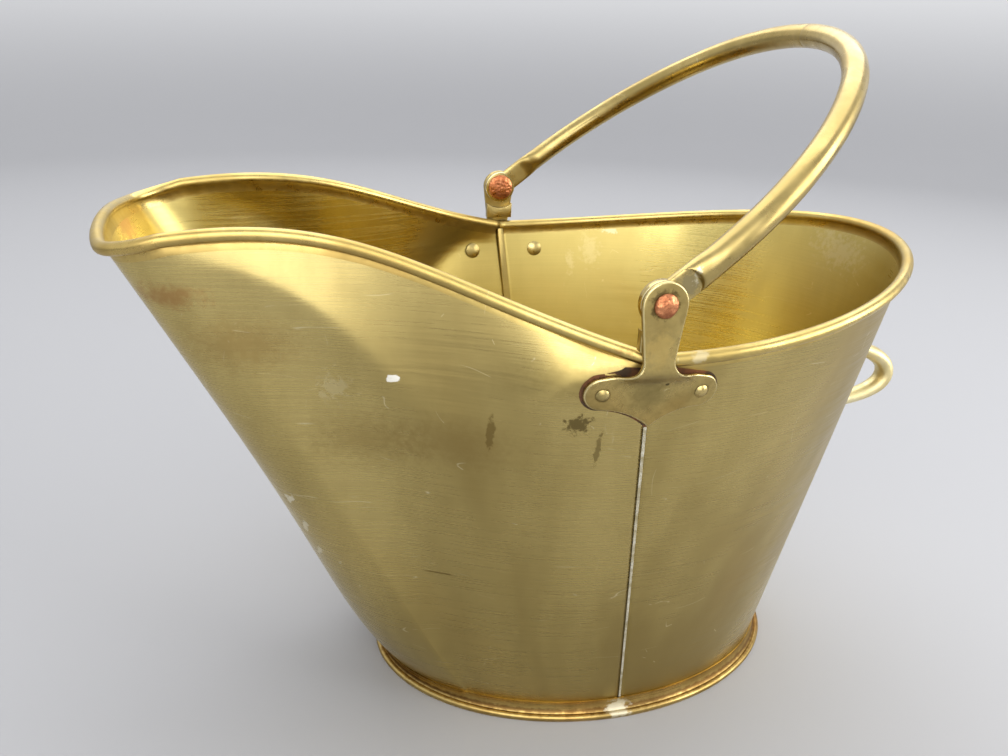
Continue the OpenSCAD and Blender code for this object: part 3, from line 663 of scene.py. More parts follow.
def cut_in_strips(bm: bmesh.types.BMesh, axis: int, span: Pair, step: float) -> None:
    """Cuts a mesh across at even steps, so that it can bend.

    Args:
        bm: the mesh.
        axis: the axis along which the steps run.
        span: place of the first cut, and the place before which the cuts end.
        step: distance between two cuts.
    """
    low, high = span
    normal = Vector((0, 0, 0))
    normal[axis] = 1
    for k in range(int((high - low) / step) + 1):
        at = normal * (low + k * step)
        bmesh.ops.bisect_plane(bm, geom=everything(bm), dist=1e-5, plane_co=at, plane_no=normal)


class Outline:
    """A flat outline drawn on by lines and arcs, in millimetres."""

    def __init__(self, start: Vector) -> None:
        """Starts at a point."""
        self.bm = bmesh.new()
        self.last = self.bm.verts.new(start)

    def line(self, to: Vector) -> None:
        """Draws a straight line on.

        Args:
            to: the line's end.
        """
        made = bmesh.ops.extrude_vert_indiv(self.bm, verts=[self.last])
        self.last = made["verts"][0]
        bmesh.ops.translate(self.bm, verts=[self.last], vec=to - self.last.co)

    def arc(self, centre: Vector, degrees: float, steps: int) -> None:
        """Draws an arc on.

        Args:
            centre: the arc's centre.
            degrees: how far it turns, to the left for a positive angle.
            steps: number of its straight stretches.
        """
        made = bmesh.ops.spin(
            self.bm, geom=[self.last], cent=centre, axis=(0, 0, 1),
            angle=math.radians(degrees), steps=steps, use_merge=False,
        )
        self.last = next(g for g in made["geom_last"] if isinstance(g, bmesh.types.BMVert))

    def close(self) -> bmesh.types.BMesh:
        """Closes the outline and fills it with one face.

        Returns:
            The mesh, with that one face.
        """
        bmesh.ops.remove_doubles(self.bm, verts=self.bm.verts, dist=0.02)
        bmesh.ops.contextual_create(self.bm, geom=self.bm.edges)
        bmesh.ops.recalc_face_normals(self.bm, faces=self.bm.faces)
        return self.bm


def thicken(bm: bmesh.types.BMesh, depth: float) -> None:
    """Raises a flat face into a plate.

    Args:
        bm: the mesh of the face.
        depth: how far along +Z the plate's other side lies.
    """
    made = bmesh.ops.extrude_face_region(bm, geom=bm.faces)
    raised = [g for g in made["geom"] if isinstance(g, bmesh.types.BMVert)]
    bmesh.ops.translate(bm, verts=raised, vec=(0, 0, depth))
    bmesh.ops.recalc_face_normals(bm, faces=bm.faces)


# ---------- shader groups ----------


class Tree:
    """A node tree with short calls to add and join nodes."""

    def __init__(self, tree: bpy.types.NodeTree) -> None:
        """Wraps a tree."""
        self.tree = tree

    def add(self, kind: str, **settings: object) -> bpy.types.Node:
        """Adds a node.

        Args:
            kind: the node's type.
            settings: the properties to set on it.

        Returns:
            The node.
        """
        n = self.tree.nodes.new(kind)
        for key, value in settings.items():
            setattr(n, key, value)
        return n

    def join(self, source: Socket, target: Socket) -> None:
        """Links an output to an input."""
        self.tree.links.new(source, target)

    def put(self, socket: Socket, value: Value) -> None:
        """Feeds an input.

        Args:
            socket: the input.
            value: the output to link to it, or the number or colour to set it to.
        """
        if isinstance(value, bpy.types.NodeSocket):
            self.join(value, socket)
        else:
            socket.default_value = value

    def math(self, operation: str, a: Value, b: Value = 0.0, clamp: bool = False) -> Socket:
        """Adds a Math node.

        Args:
            operation: what it does.
            a: its first value.
            b: its second value.
            clamp: whether the result stays between 0 and 1.

        Returns:
            Its output.
        """
        n = self.add("ShaderNodeMath", operation=operation, use_clamp=clamp)
        self.put(n.inputs[0], a)
        self.put(n.inputs[1], b)
        return n.outputs[0]

    def swing(self, value: Socket, size: Value) -> Socket:
        """Turns a value about a half into a swing about zero, made larger by size."""
        return self.math("MULTIPLY", self.math("SUBTRACT", value, 0.5), size)

    def vectors(self, operation: str, *vectors: Socket) -> bpy.types.Node:
        """Adds a Vector Math node.

        Args:
            operation: what it does.
            vectors: the outputs that it works on.

        Returns:
            The node.
        """
        n = self.add("ShaderNodeVectorMath", operation=operation)
        for source, target in zip(vectors, n.inputs):
            self.join(source, target)
        return n

    def ramp(self, value: Socket, low: Value, high: Value, to_low: Value = 0.0,
             to_high: Value = 1.0) -> Socket:
        """Maps a range of values smoothly to another.

        Args:
            value: the value.
            low: where the range begins.
            high: where it ends.
            to_low: the result at low and below.
            to_high: the result at high and above.

        Returns:
            The result.
        """
        n = self.add("ShaderNodeMapRange", interpolation_type="SMOOTHSTEP")
        for i, v in enumerate((value, low, high, to_low, to_high)):
            self.put(n.inputs[i], v)
        return n.outputs[0]

    def stretch(self, vector: Socket, scale: Row, turn: Row = (0, 0, 0)) -> Socket:
        """Scales and turns coordinates.

        Args:
            vector: the coordinates.
            scale: the scale along each axis.
            turn: the turn about each axis, in radians.

        Returns:
            The new coordinates.
        """
        n = self.add("ShaderNodeMapping")
        self.join(vector, n.inputs["Vector"])
        n.inputs["Rotation"].default_value = turn
        n.inputs["Scale"].default_value = scale
        return n.outputs[0]

    def noise(self, vector: Socket, scale: Value, detail: float = 3.0, rough: float = 0.5,
              bend: float = 0.0) -> Socket:
        """Adds a noise pattern.

        Args:
            vector: the coordinates.
            scale: how fine it is.
            detail: number of finer layers.
            rough: weight of the finer layers.
            bend: how far it is distorted.

        Returns:
            Its value, about a half.
        """
        n = self.add("ShaderNodeTexNoise")
        self.join(vector, n.inputs["Vector"])
        self.put(n.inputs["Scale"], scale)
        n.inputs["Detail"].default_value = detail
        n.inputs["Roughness"].default_value = rough
        n.inputs["Distortion"].default_value = bend
        return n.outputs["Fac"]

    def place(self, group: bpy.types.NodeTree, vector: Socket) -> bpy.types.Node:
        """Places a shared group.

        Args:
            group: the group.
            vector: its coordinates.

        Returns:
            Its node.
        """
        n = self.add("ShaderNodeGroup", node_tree=group)
        self.join(vector, n.inputs["Vector"])
        return n

    def blend(self, factor: Value, a: Value, b: Value, kind: str = "MIX") -> Socket:
        """Mixes two colours.

        Args:
            factor: share of the second colour.
            a: the first colour.
            b: the second colour.
            kind: how they mix.

        Returns:
            The mixed colour.
        """
        n = self.add("ShaderNodeMix", data_type="RGBA", blend_type=kind)
        self.put(n.inputs[0], factor)
        self.put(n.inputs[6], a)
        self.put(n.inputs[7], b)
        return n.outputs[2]

    def blend_values(self, factor: Value, a: Value, b: Value) -> Socket:
        """Mixes two plain values.

        Args:
            factor: share of the second value.
            a: the first value.
            b: the second value.

        Returns:
            The mixed value.
        """
        n = self.add("ShaderNodeMix", data_type="FLOAT")
        self.put(n.inputs[0], factor)
        self.put(n.inputs[2], a)
        self.put(n.inputs[3], b)
        return n.outputs[0]

    def attribute(self, name: str) -> Socket:
        """Value of the piece's own attribute."""
        n = self.add("ShaderNodeAttribute", attribute_name=name, attribute_type="GEOMETRY")
        return n.outputs["Fac"]

    def here(self) -> Socket:
        """Coordinates on the piece, in metres of the frame."""
        return self.add("ShaderNodeTexCoord").outputs["Object"]


class Group(Tree):
    """The tree of a shared group, with its named inputs and outputs."""

    def __init__(self, name: str, outs: Sequence[str],
                 more: Sequence[tuple[str, str, Value]] = ()) -> None:
        """Starts a group that takes coordinates.

        Args:
            name: the group's name.
            outs: names of its outputs, all plain values.
            more: name, kind and default of each input besides its coordinates.
        """
        super().__init__(bpy.data.node_groups.new(name, "ShaderNodeTree"))
        sockets = self.tree.interface
        sockets.new_socket("Vector", in_out="INPUT", socket_type="NodeSocketVector")
        for label, kind, default in more:
            made = sockets.new_socket(label, in_out="INPUT", socket_type="NodeSocket" + kind)
            made.default_value = default
        for label in outs:
            sockets.new_socket(label, in_out="OUTPUT", socket_type="NodeSocketFloat")
        self.given = self.add("NodeGroupInput").outputs
        self.result = self.add("NodeGroupOutput").inputs


class Effects:
    """Shader groups that several finishes share, each built once."""

    def __init__(self) -> None:
        """Builds every group."""
        self.grain = self._grain()
        self.tarnish = self._tarnish()
        self.scratches = self._scratches()
        self.wear = self._wear()
        self.blot = self._blot()

    @staticmethod
    def _grain() -> bpy.types.NodeTree:
        """Makes brushed lines; their coordinates arrive stretched along the brushing.

        Returns:
            The group.
        """
        g = Group("brushed_grain", ["Fine", "Coarse"])
        fine = g.noise(g.given["Vector"], 9.0, detail=4.0, rough=0.65)
        coarse = g.noise(g.given["Vector"], 2.2, detail=3.0, rough=0.6)
        g.join(g.ramp(fine, 0.28, 0.72), g.result["Fine"])
        g.join(g.ramp(coarse, 0.3, 0.7), g.result["Coarse"])
        return g.tree

    @staticmethod
    def _tarnish() -> bpy.types.NodeTree:
        """Makes broad clouds and small mottles of tarnish.

        Returns:
            The group.
        """
        g = Group("tarnish", ["Clouds", "Mottle"], [("Scale", "Float", 8.0)])
        clouds = g.noise(g.given["Vector"], g.given["Scale"], detail=4.0, rough=0.55, bend=0.6)
        finer = g.math("MULTIPLY", g.given["Scale"], 9.0)
        mottle = g.noise(g.given["Vector"], finer, detail=5.0, rough=0.62, bend=0.3)
        g.join(g.ramp(clouds, 0.36, 0.64), g.result["Clouds"])
        g.join(g.ramp(mottle, 0.42, 0.66), g.result["Mottle"])
        return g.tree

    @staticmethod
    def _scratches() -> bpy.types.NodeTree:
        """Makes thin broken scratches in three directions.

        Returns:
            The group.
        """
        width, fade = 0.0035, 0.04
        g = Group("scratches", ["Lines"], [("Scale", "Float", 1.0)])
        lines = []
        for turn, scale, kept_over in (
            ((0.2, 0.5, 0.35), (9.0, 9.0, 46.0), 0.60),
            ((-0.3, -0.75, 0.1), (13.0, 13.0, 70.0), 0.62),
            ((0.9, 0.2, -0.4), (60.0, 16.0, 16.0), 0.63),
        ):
            along = g.stretch(g.given["Vector"], scale, turn)
            value = g.noise(along, g.given["Scale"], detail=1.0, rough=0.4, bend=0.15)
            near = g.math("ABSOLUTE", g.math("SUBTRACT", value, 0.5))
            line = g.ramp(near, 0.0, width, 1.0, 0.0)
            kept = g.noise(along, 2.3, detail=2.0, rough=0.6)
            lines.append(g.math("MULTIPLY", line, g.ramp(kept, kept_over, kept_over + fade)))
        total = g.math("ADD", lines[0], lines[1], clamp=True)
        g.join(g.math("ADD", total, lines[2], clamp=True), g.result["Lines"])
        return g.tree

    @staticmethod
    def _wear() -> bpy.types.NodeTree:
        """Makes wear along edges, from the piece's own attribute, broken up by noise.

        Returns:
            The group.
        """
        g = Group("edge_wear", ["Worn"])
        rough = g.noise(g.given["Vector"], 130.0, detail=4.0, rough=0.6)
        level = g.math("ADD", g.attribute("wear"), g.swing(rough, 0.7))
        g.join(g.ramp(level, 0.3, 0.75), g.result["Worn"])
        return g.tree

    @staticmethod
    def _blot() -> bpy.types.NodeTree:
        """Makes one ragged blot about a centre.

        Returns:
            The group.
        """
        edge = 1.05
        g = Group(
            "blot",
            ["Mask"],
            [("Centre", "Vector", (0, 0, 0)), ("Size", "Vector", (0.01, 0.05, 0.01)),
             ("Ragged", "Float", 0.6), ("Soft", "Float", 0.3)],
        )
        off = g.vectors("SUBTRACT", g.given["Vector"], g.given["Centre"])
        scaled = g.vectors("DIVIDE", off.outputs[0], g.given["Size"])
        distance = g.vectors("LENGTH", scaled.outputs[0]).outputs["Value"]
        rough = g.noise(g.given["Vector"], 260.0, detail=4.0, rough=0.65)
        ragged = g.math("MULTIPLY", g.swing(rough, g.given["Ragged"]), 4.0)
        level = g.math("ADD", distance, ragged)
        inside = g.math("SUBTRACT", edge, g.given["Soft"])
        g.join(g.ramp(level, inside, edge, 1.0, 0.0), g.result["Mask"])
        return g.tree


# ---------- materials ----------


@dataclass(frozen=True)
class Surface:
    """A new material with its tree, its shader and its output."""

    material: bpy.types.Material
    tree: Tree
    shader: bpy.types.Node
    out: bpy.types.Node

    @classmethod
    def new(cls, name: str) -> "Surface":
        """Starts a material.

        Args:
            name: its name.

        Returns:
            The material with a principled shader joined to its output.
        """
        material = bpy.data.materials.new(name)
        material.use_nodes = True
        material.node_tree.nodes.clear()
        tree = Tree(material.node_tree)
        out = tree.add("ShaderNodeOutputMaterial")
        shader = tree.add("ShaderNodeBsdfPrincipled")
        tree.join(shader.outputs[0], out.inputs[0])
        return cls(material, tree, shader, out)

    def set(self, label: str, value: Value) -> None:
        """Feeds the shader's input of that name."""
        self.tree.put(self.shader.inputs[label], value)


@dataclass(frozen=True)
class Blot:
    """A local mark on a finish: what it is, where and how big in metres, and what it does."""

    name: str
    centre: Row
    size: Row
    colour: str
    strength: float = 0.7
    roughness: float = 0.6
    ragged: float = 0.6
    soft: float = 0.3

    def mask(self, tree: Tree, effects: Effects, where: Socket) -> Socket:
        """Adds the mark's mask to a material.

        Args:
            tree: the material's tree.
            effects: the shared groups.
            where: coordinates on the piece.

        Returns:
            How strongly the mark covers each place.
        """
        mask = tree.place(effects.blot, where)
        mask.label = self.name
        mask.inputs["Centre"].default_value = self.centre
        mask.inputs["Size"].default_value = self.size
        mask.inputs["Ragged"].default_value = self.ragged
        mask.inputs["Soft"].default_value = self.soft
        return tree.math("MULTIPLY", mask.outputs["Mask"], self.strength)


@dataclass(frozen=True)
class Patterns:
    """The patterns that a metal's colour, roughness and height share."""

    where: Socket
    fine: Socket
    coarse: Socket
    clouds: Socket
    mottle: Socket
    lines: Socket
    worn: Socket


@dataclass(frozen=True)
class Metal:
    """A metal finish, from its clean colour to its tarnish, grain, scratches and wear.

    Heights are in metres. A gloss says how much a pattern changes the roughness.
    """

    name: str
    clean: str
    dull: str
    warm: str
    worn: str
    grain: Grain = Grain.LEVEL
    # Stretching the tarnish clouds up and down makes soft vertical bands: random tarnish that also
    # stands in for vertical reflection bands, a painted reflection.
    tarnish_and_sheen_stretch: Row = (1.0, 1.0, 0.38)
    tarnish_scale: float = 7.0
    tarnish: float = 0.75
    warmth: float = 0.4
    warm_scale: float = 0.6
    mottle: float = 0.25
    grain_shade: float = 0.05
    grain_bump: float = 0.000004
    grain_gloss: float = 0.12
    cloud_gloss: float = 0.14
    worn_gloss: float = 0.08
    worn_strength: float = 0.75
    metallic: float = 1.0
    roughness: float = 0.36
    scratch: float = 0.5
    scratch_bump: float = 0.00003
    wave: float = 0.0
    wave_scale: float = 15.0
    pits: float = 0.0
    blots: tuple[Blot, ...] = field(default_factory=tuple)

    def build(self, effects: Effects) -> bpy.types.Material:
        """Makes the material.

        Args:
            effects: the shared groups.

        Returns:
            The finished material.
        """
        surface = Surface.new(self.name)
        tree = surface.tree
        p = self._patterns(tree, effects)
        colour, rough = self._colour(tree, p), self._roughness(tree, p)
        # Each blot is a local mark: most are stains and wear, and some are painted shade, shadow or
        # highlight.
        for blot in self.blots:
            share = blot.mask(tree, effects, p.where)
            colour = tree.blend(share, colour, linear(blot.colour))
            rough = tree.blend_values(share, rough, blot.roughness)
        bump = tree.add("ShaderNodeBump")
        bump.inputs["Strength"].default_value = 1.0
        bump.inputs["Distance"].default_value = 1.0
        tree.join(self._height(tree, p), bump.inputs["Height"])
        surface.set("Metallic", self.metallic)
        surface.set("Base Color", colour)
        surface.set("Roughness", rough)
        surface.set("Normal", bump.outputs[0])
        return surface.material

    def _patterns(self, tree: Tree, effects: Effects) -> Patterns:
        """Places the shared groups in the material.

        Args:
            tree: the material's tree.
            effects: the shared groups.

        Returns:
            Their outputs.
        """
        where = tree.here()
        grain = tree.place(effects.grain, tree.stretch(where, self.grain.value))
        tarnish = tree.place(effects.tarnish, tree.stretch(where, self.tarnish_and_sheen_stretch))
        tarnish.inputs["Scale"].default_value = self.tarnish_scale
        return Patterns(
            where,
            grain.outputs["Fine"],
            grain.outputs["Coarse"],
            tarnish.outputs["Clouds"],
            tarnish.outputs["Mottle"],
            tree.place(effects.scratches, where).outputs["Lines"],
            tree.place(effects.wear, where).outputs["Worn"],
        )

    def _colour(self, tree: Tree, p: Patterns) -> Socket:
        """Lays tarnish, brushing, scratches and wear over the clean colour.

        Args:
            tree: the material's tree.
            p: its patterns.

        Returns:
            The colour.
        """
        dull, bright = linear(self.dull), linear(self.worn)
        colour = tree.blend(tree.math("MULTIPLY", p.clouds, self.tarnish), linear(self.clean), dull)
        hue = tree.noise(p.where, self.tarnish_scale * self.warm_scale, detail=3.0, bend=0.8)
        warm = tree.math("MULTIPLY", tree.ramp(hue, 0.48, 0.72), self.warmth)
        colour = tree.blend(warm, colour, linear(self.warm))
        colour = tree.blend(tree.math("MULTIPLY", p.mottle, self.mottle), colour, dull)
        shade = tree.ramp(p.coarse, 0.0, 1.0, 1 - self.grain_shade, 1.0)
        grey = tree.add("ShaderNodeCombineColor")
        for channel in grey.inputs:
            tree.join(shade, channel)
        colour = tree.blend(1.0, colour, grey.outputs[0], "MULTIPLY")
        colour = tree.blend(tree.math("MULTIPLY", p.lines, self.scratch), colour, bright)
        return tree.blend(tree.math("MULTIPLY", p.worn, self.worn_strength), colour, bright)

    def _roughness(self, tree: Tree, p: Patterns) -> Socket:
        """Makes the roughness uneven with brushing and tarnish, and smoother where worn.

        Args:
            tree: the material's tree.
            p: its patterns.

        Returns:
            The roughness.
        """
        grained = tree.swing(p.coarse, self.grain_gloss)
        dulled = tree.swing(p.clouds, self.cloud_gloss)
        rough = tree.math("ADD", self.roughness, tree.math("ADD", grained, dulled))
        smoothed = tree.math("MULTIPLY", p.worn, self.worn_gloss)
        return tree.math("SUBTRACT", rough, smoothed, clamp=True)

    def _height(self, tree: Tree, p: Patterns) -> Socket:
        """Adds up the grain, scratches, pits and broad hand-made waves.

        Args:
            tree: the material's tree.
            p: its patterns, of which the mottles are also slight pits.

        Returns:
            The height in metres.
        """
        height = tree.math("MULTIPLY", p.fine, self.grain_bump)
        cut = tree.math("MULTIPLY", p.lines, self.scratch_bump * self.scratch)
        height = tree.math("SUBTRACT", height, cut)
        if self.pits:
            height = tree.math("SUBTRACT", height, tree.math("MULTIPLY", p.mottle, self.pits))
        if self.wave:
            waves = tree.noise(p.where, self.wave_scale, detail=1.5, rough=0.45)
            height = tree.math("ADD", height, tree.math("MULTIPLY", waves, self.wave))
        return height


@dataclass(frozen=True)
class ResidueAndShade:
    """Dark, matt residue that thins out toward the edge of its piece; round the ears it is also
    painted contact shade.
    """

    name: str = "ear_grime_and_shade"
    dark: str = "3b2a16"
    rusty: str = "7a4a26"
    roughness: float = 0.8
    spot_scale: float = 420.0
    patch_scale: float = 84.0
    patchiness: float = 2.2
    thickest: float = 0.9

    def build(self) -> bpy.types.Material:
        """Makes the material.

        Returns:
            The material, whose alpha follows the piece's wear and two noises.
        """
        surface = Surface.new(self.name)
        tree = surface.tree
        where = tree.here()
        spots = tree.noise(where, self.spot_scale, detail=4.0, rough=0.6)
        patches = tree.noise(where, self.patch_scale, detail=3.0, rough=0.55)
        rust = tree.ramp(patches, 0.4, 0.65)
        level = tree.math("ADD", tree.attribute("wear"), tree.math("SUBTRACT", spots, 0.5))
        level = tree.math("ADD", level, tree.swing(patches, self.patchiness))
        surface.set("Roughness", self.roughness)
        surface.set("Base Color", tree.blend(rust, linear(self.dark), linear(self.rusty)))
        surface.set("Alpha", tree.ramp(level, 0.15, 0.5, 0.0, self.thickest))
        return surface.material


# ---------- sub-assemblies ----------


@dataclass
class Sheets:
    """The two body sheets with their rolled rim. Angles in degrees round the rim's wire."""

    form: BodyForm
    front_parts: tuple[int, int, int] = (12, 14, 76)
    rear_count: int = 60
    levels: int = 56
    curl_steps: int = 26
    roll_starts: float = 0.985
    crest_low: float = 20.0
    crest_high: float = 150.0
    crest_wear: float = 0.22
    sharp_over: float = 50.0

    def sheet(self, frames: Sequence[Frame]) -> bmesh.types.BMesh:
        """Makes the middle surface of a sheet.

        Args:
            frames: the frames that it runs through.

        Returns:
            The surface, from the foot to the end of the curl.
        """
        form = self.form
        r = form.roll_r - form.sheet_t / 2

        def where(i: int, k: int) -> Vector:
            """Place of a corner of the sheet."""
            f = frames[i]
            if k < self.levels:
                return to_frame(form.wall_point(f, k / self.levels, 0))
            return to_frame(form.curl_point(f, self.turn(k), r))

        rows = self.levels + self.curl_steps + 1
        bm = grid_mesh(len(frames), rows, where)
        bm.verts.index_update()
        first_of_roll = round(self.levels * self.roll_starts)
        for face in bm.faces:
            row = min(v.index // len(frames) for v in face.verts)
            face.material_index = int(row >= first_of_roll)
        bmesh.ops.recalc_face_normals(bm, faces=bm.faces)
        add_wear(bm, lambda v: self.rim_wear(v.index // len(frames)))
        return bm

    def turn(self, row: int) -> float:
        """Angle of a row of the sheet round the wire, in degrees."""
        share = (row - self.levels) / self.curl_steps
        return mix(self.form.curl_start, self.form.curl_end, share)

    def rim_wear(self, row: int) -> float:
        """Wear of a row of the sheet: the crest of the roll is rubbed bright."""
        return self.crest_wear if self.crest_low < self.turn(row) < self.crest_high else 0.0

    def build(self, name: str, bm: bmesh.types.BMesh, materials: Sequence[bpy.types.Material],
              node: str) -> bpy.types.Object:
        """Makes one sheet, with its real thickness.

        Args:
            name: the piece's name.
            bm: its middle surface.
            materials: the finishes of the wall and of the roll for its inner side, then
                both for the outer side, which the thickness adds.
            node: the solid that it replaces.

        Returns:
            The new object.
        """
        obj = finish_mesh(
            name, bm, materials, Slot.SHEET, stands_for=[node], sharp_degrees=self.sharp_over
        )
        thick = obj.modifiers.new("sheet_thickness", "SOLIDIFY")
        thick.thickness = self.form.sheet_t * MM
        thick.offset = 0.0
        thick.use_even_offset = False
        thick.material_offset = len(materials) // 2
        return obj


@dataclass
class FootRing:
    """The coved ring round the foot, with its bead. Sizes in millimetres and degrees."""

    form: BodyForm
    height: float = 12.0
    spread: float = 5.5
    bead_r: float = 2.2
    seat_gap: float = 0.15
    ring_t: float = 0.9
    flat_z: float = 0.4
    cove_steps: int = 10
    bead_from: float = 120.0
    bead_step: float = 12.0
    bead_back: tuple[float, ...] = (-150.0, -165.0, -180.0, 170.0)
    rubbed_below: float = 4.2
    rubbed: float = 0.3
    sharp_over: float = 60.0

    def bead_point(self, degrees: float) -> Pair:
        """Point of the bead: distance outward from the wall, and height."""
        a = math.radians(degrees)
        return self.spread + self.bead_r * math.cos(a), self.bead_r * (1 + math.sin(a))

    def section(self) -> list[Pair]:
        """Draws the closed section of the ring.

        Returns:
            Distance outward from the wall and height of each point, down the cove, round
            the bead and up the inner side.
        """
        low_out, low_z = self.bead_point(self.bead_from)
        flat = math.degrees(math.asin((self.bead_r - self.flat_z) / self.bead_r))

        def cove(z: float) -> float:
            """Outer face of the cove at a height."""
            share = ((self.height - z) / (self.height - low_z)) ** 2
            return mix(self.seat_gap + self.ring_t, low_out, share)

        heights = [mix(self.height, low_z, k / self.cove_steps) for k in range(self.cove_steps)]
        steps = int((self.bead_from + flat) / self.bead_step)
        angles = [self.bead_from - self.bead_step * k for k in range(steps + 1)]
        bead = []
        for a in [*angles, -flat, flat - 180, *self.bead_back]:
            out, z = self.bead_point(a)
            bead.append((out, 0.0 if z <= self.flat_z + 1e-6 else z))
        outer = [(cove(z), z) for z in heights]
        inner = [(cove(z) - self.ring_t, z) for z in reversed(heights)]
        return outer + bead + inner

    def build(self, frames: Sequence[Frame], material: bpy.types.Material) -> bpy.types.Object:
        """Makes the ring.

        Args:
            frames: the frames of both sheets, all the way round.
            material: its finish.

        Returns:
            The new object.
        """
        form = self.form
        section = self.section()
        count = len(frames)

        def where(i: int, k: int) -> Vector:
            """Place of a corner of the ring."""
            f = frames[i % count]
            o, z = section[k % len(section)]
            p = form.low_wall(f, z, form.sheet_t / 2)
            out = Vector((f.foot_out.x, f.foot_out.y, 0)).normalized()
            return to_frame(Vector((p.x + out.x * o, p.y + out.y * o, z)))

        bm = grid_mesh(count + 1, len(section) + 1, where)
        bmesh.ops.remove_doubles(bm, verts=bm.verts, dist=1e-7)
        bmesh.ops.recalc_face_normals(bm, faces=bm.faces)
        low = self.rubbed_below * MM
        add_wear(bm, lambda v: self.rubbed if v.co.z < low else 0.0)
        return finish_mesh(
            "foot_ring_fine", bm, [material], Slot.FOOT, stands_for=["foot_ring"],
            sharp_degrees=self.sharp_over,
        )


@dataclass
class Ears:
    """The two riveted ears. Sizes in millimetres, u to the rear and w up from the pivot."""

    walls: BVHTree
    plane_y: float = 154.2
    thickness: float = 3.0
    eye_r: float = 11.6
    waist_half: float = 8.1
    rivet_pitch_half: float = 25.5
    rivet_shift: float = 2.5
    rivet_drop: float = 47.7
    lobe_r: float = 9.0
    slope: float = 11.0
    shoulder_r: float = 9.0
    point_u: float = 3.2
    point_drop: float = 67.5
    sweep_steps: int = 12
    lobe_steps: int = 24
    shoulder_steps: int = 14
    eye_steps: int = 26
    rim_drop: float = 29.4
    roll_r: float = 3.5
    crank_h: float = 10.0
    crank_from: float = 5.0
    crank_to: float = 15.0
    sheet_half: float = 0.55
    seat_gap: float = 0.15
    seat_run: float = 9.9
    ray_from_y: float = 300.0
    ray_step: float = 0.5
    nearest_wall_y: float = 50.0
    steepest: float = 0.5
    front_edge: float = 1.0
    back_wear: float = 0.5
    strip: float = 2.2
    strips_u: Pair = (-35.0, 40.0)
    strips_over_point: float = 1.0
    # Sizes of the dark line round an ear: residue, and painted contact shade where the ear meets
    # the wall.
    grime_and_shade_strips_u: Pair = (-38.0, 42.0)
    grime_and_shade_strips_under_point: float = 2.0
    grime_and_shade_reach: float = 1.3
    grime_and_shade_at_point: float = 1.5
    grime_and_shade_below_roll: float = 1.2
    grime_and_shade_h: float = 0.05
    block_half: float = 9.7
    block_gap: float = 2.6
    block_hollow_r: float = 15.8
    block_t: float = 4.4
    block_sink: float = 0.5
    block_edge: float = 0.4
    block_steps: int = 20
    casting_waves: float = 0.16
    casting_scale: float = 0.16
    casting_seed: float = 40.0
    sharp_over: float = 55.0

    def side_of(self, path: Outline, s: int) -> None:
        """Draws one side of the ear.

        Args:
            path: the outline that is drawn on.
            s: 1 for the rear side, drawn upward, and -1 for the front side, drawn downward.
        """
        u = s * self.rivet_pitch_half + self.rivet_shift
        lobe = Vector((u, -self.rivet_drop, 0))
        lobe_low = -self.rivet_drop - self.lobe_r
        run = abs(u - self.point_u)
        fall = lobe_low + self.point_drop
        sweep_r = (run * run + fall * fall) / (2 * fall)
        sweep = Vector((u, lobe_low - sweep_r, 0))
        sweep_turn = math.degrees(math.asin(run / sweep_r))
        lean = math.radians(self.slope)
        edge = lobe + Vector((s * math.sin(lean), math.cos(lean), 0)) * self.lobe_r
        hollow_u = self.waist_half + self.shoulder_r
        edge_w = edge.y + (abs(edge.x) - hollow_u) * math.tan(lean)
        hollow = Vector((s * hollow_u, edge_w + self.shoulder_r / math.cos(lean), 0))
        touch = hollow + Vector((-s * math.sin(lean), -math.cos(lean), 0)) * self.shoulder_r
        waist = Vector((s * self.waist_half, hollow.y, 0))
        reach = math.hypot(self.waist_half, hollow.y)
        eye_touch = math.atan2(hollow.y, self.waist_half) + math.acos(self.eye_r / reach)
        on_eye = Vector((s * math.cos(eye_touch), math.sin(eye_touch), 0)) * self.eye_r
        lobe_turn = 180 - self.slope
        eye_turn = 90 - math.degrees(eye_touch)
        shoulder_turn = 90 - self.slope
        eye = Vector((0, 0, 0))
        if s > 0:
            path.arc(sweep, -sweep_turn, self.sweep_steps)
            path.arc(lobe, lobe_turn, self.lobe_steps)
            path.line(touch)
            path.arc(hollow, -shoulder_turn, self.shoulder_steps)
            path.line(on_eye)
            path.arc(eye, eye_turn, self.eye_steps)
        else:
            path.arc(eye, eye_turn, self.eye_steps)
            path.line(waist)
            path.arc(hollow, -shoulder_turn, self.shoulder_steps)
            path.line(edge)
            path.arc(lobe, lobe_turn, self.lobe_steps)
            path.arc(sweep, -sweep_turn, self.sweep_steps)

    def plate(self) -> bmesh.types.BMesh:
        """Draws the flat outline of an ear.

        Returns:
            The outline as one face.
        """
        path = Outline(Vector((self.point_u, -self.point_drop, 0)))
        self.side_of(path, 1)
        self.side_of(path, -1)
        return path.close()

    def wall_y(self, x: float, z: float, off: float) -> float:
        """Measures how far from the mirror plane a face of the wall lies.

        Args:
            x: place along the scuttle, in millimetres of the frame.
            z: height.
            off: distance of the face outward of the wall's middle surface.

        Returns:
            The distance in millimetres. In the gap of the seam it is the mean of both sides.
        """
        found = []
        for shift in (0.0, self.ray_step, -self.ray_step):
            start = Vector(((x + shift) * MM, self.ray_from_y * MM, z * MM))
            hit, normal, _, _ = self.walls.ray_cast(start, Vector((0, -1, 0)))
            if hit is not None and hit.y > self.nearest_wall_y * MM:
                found.append(hit.y / MM + off / max(self.steepest, abs(normal.y)))
            if found and shift == 0.0:
                break
        return sum(found) / len(found)

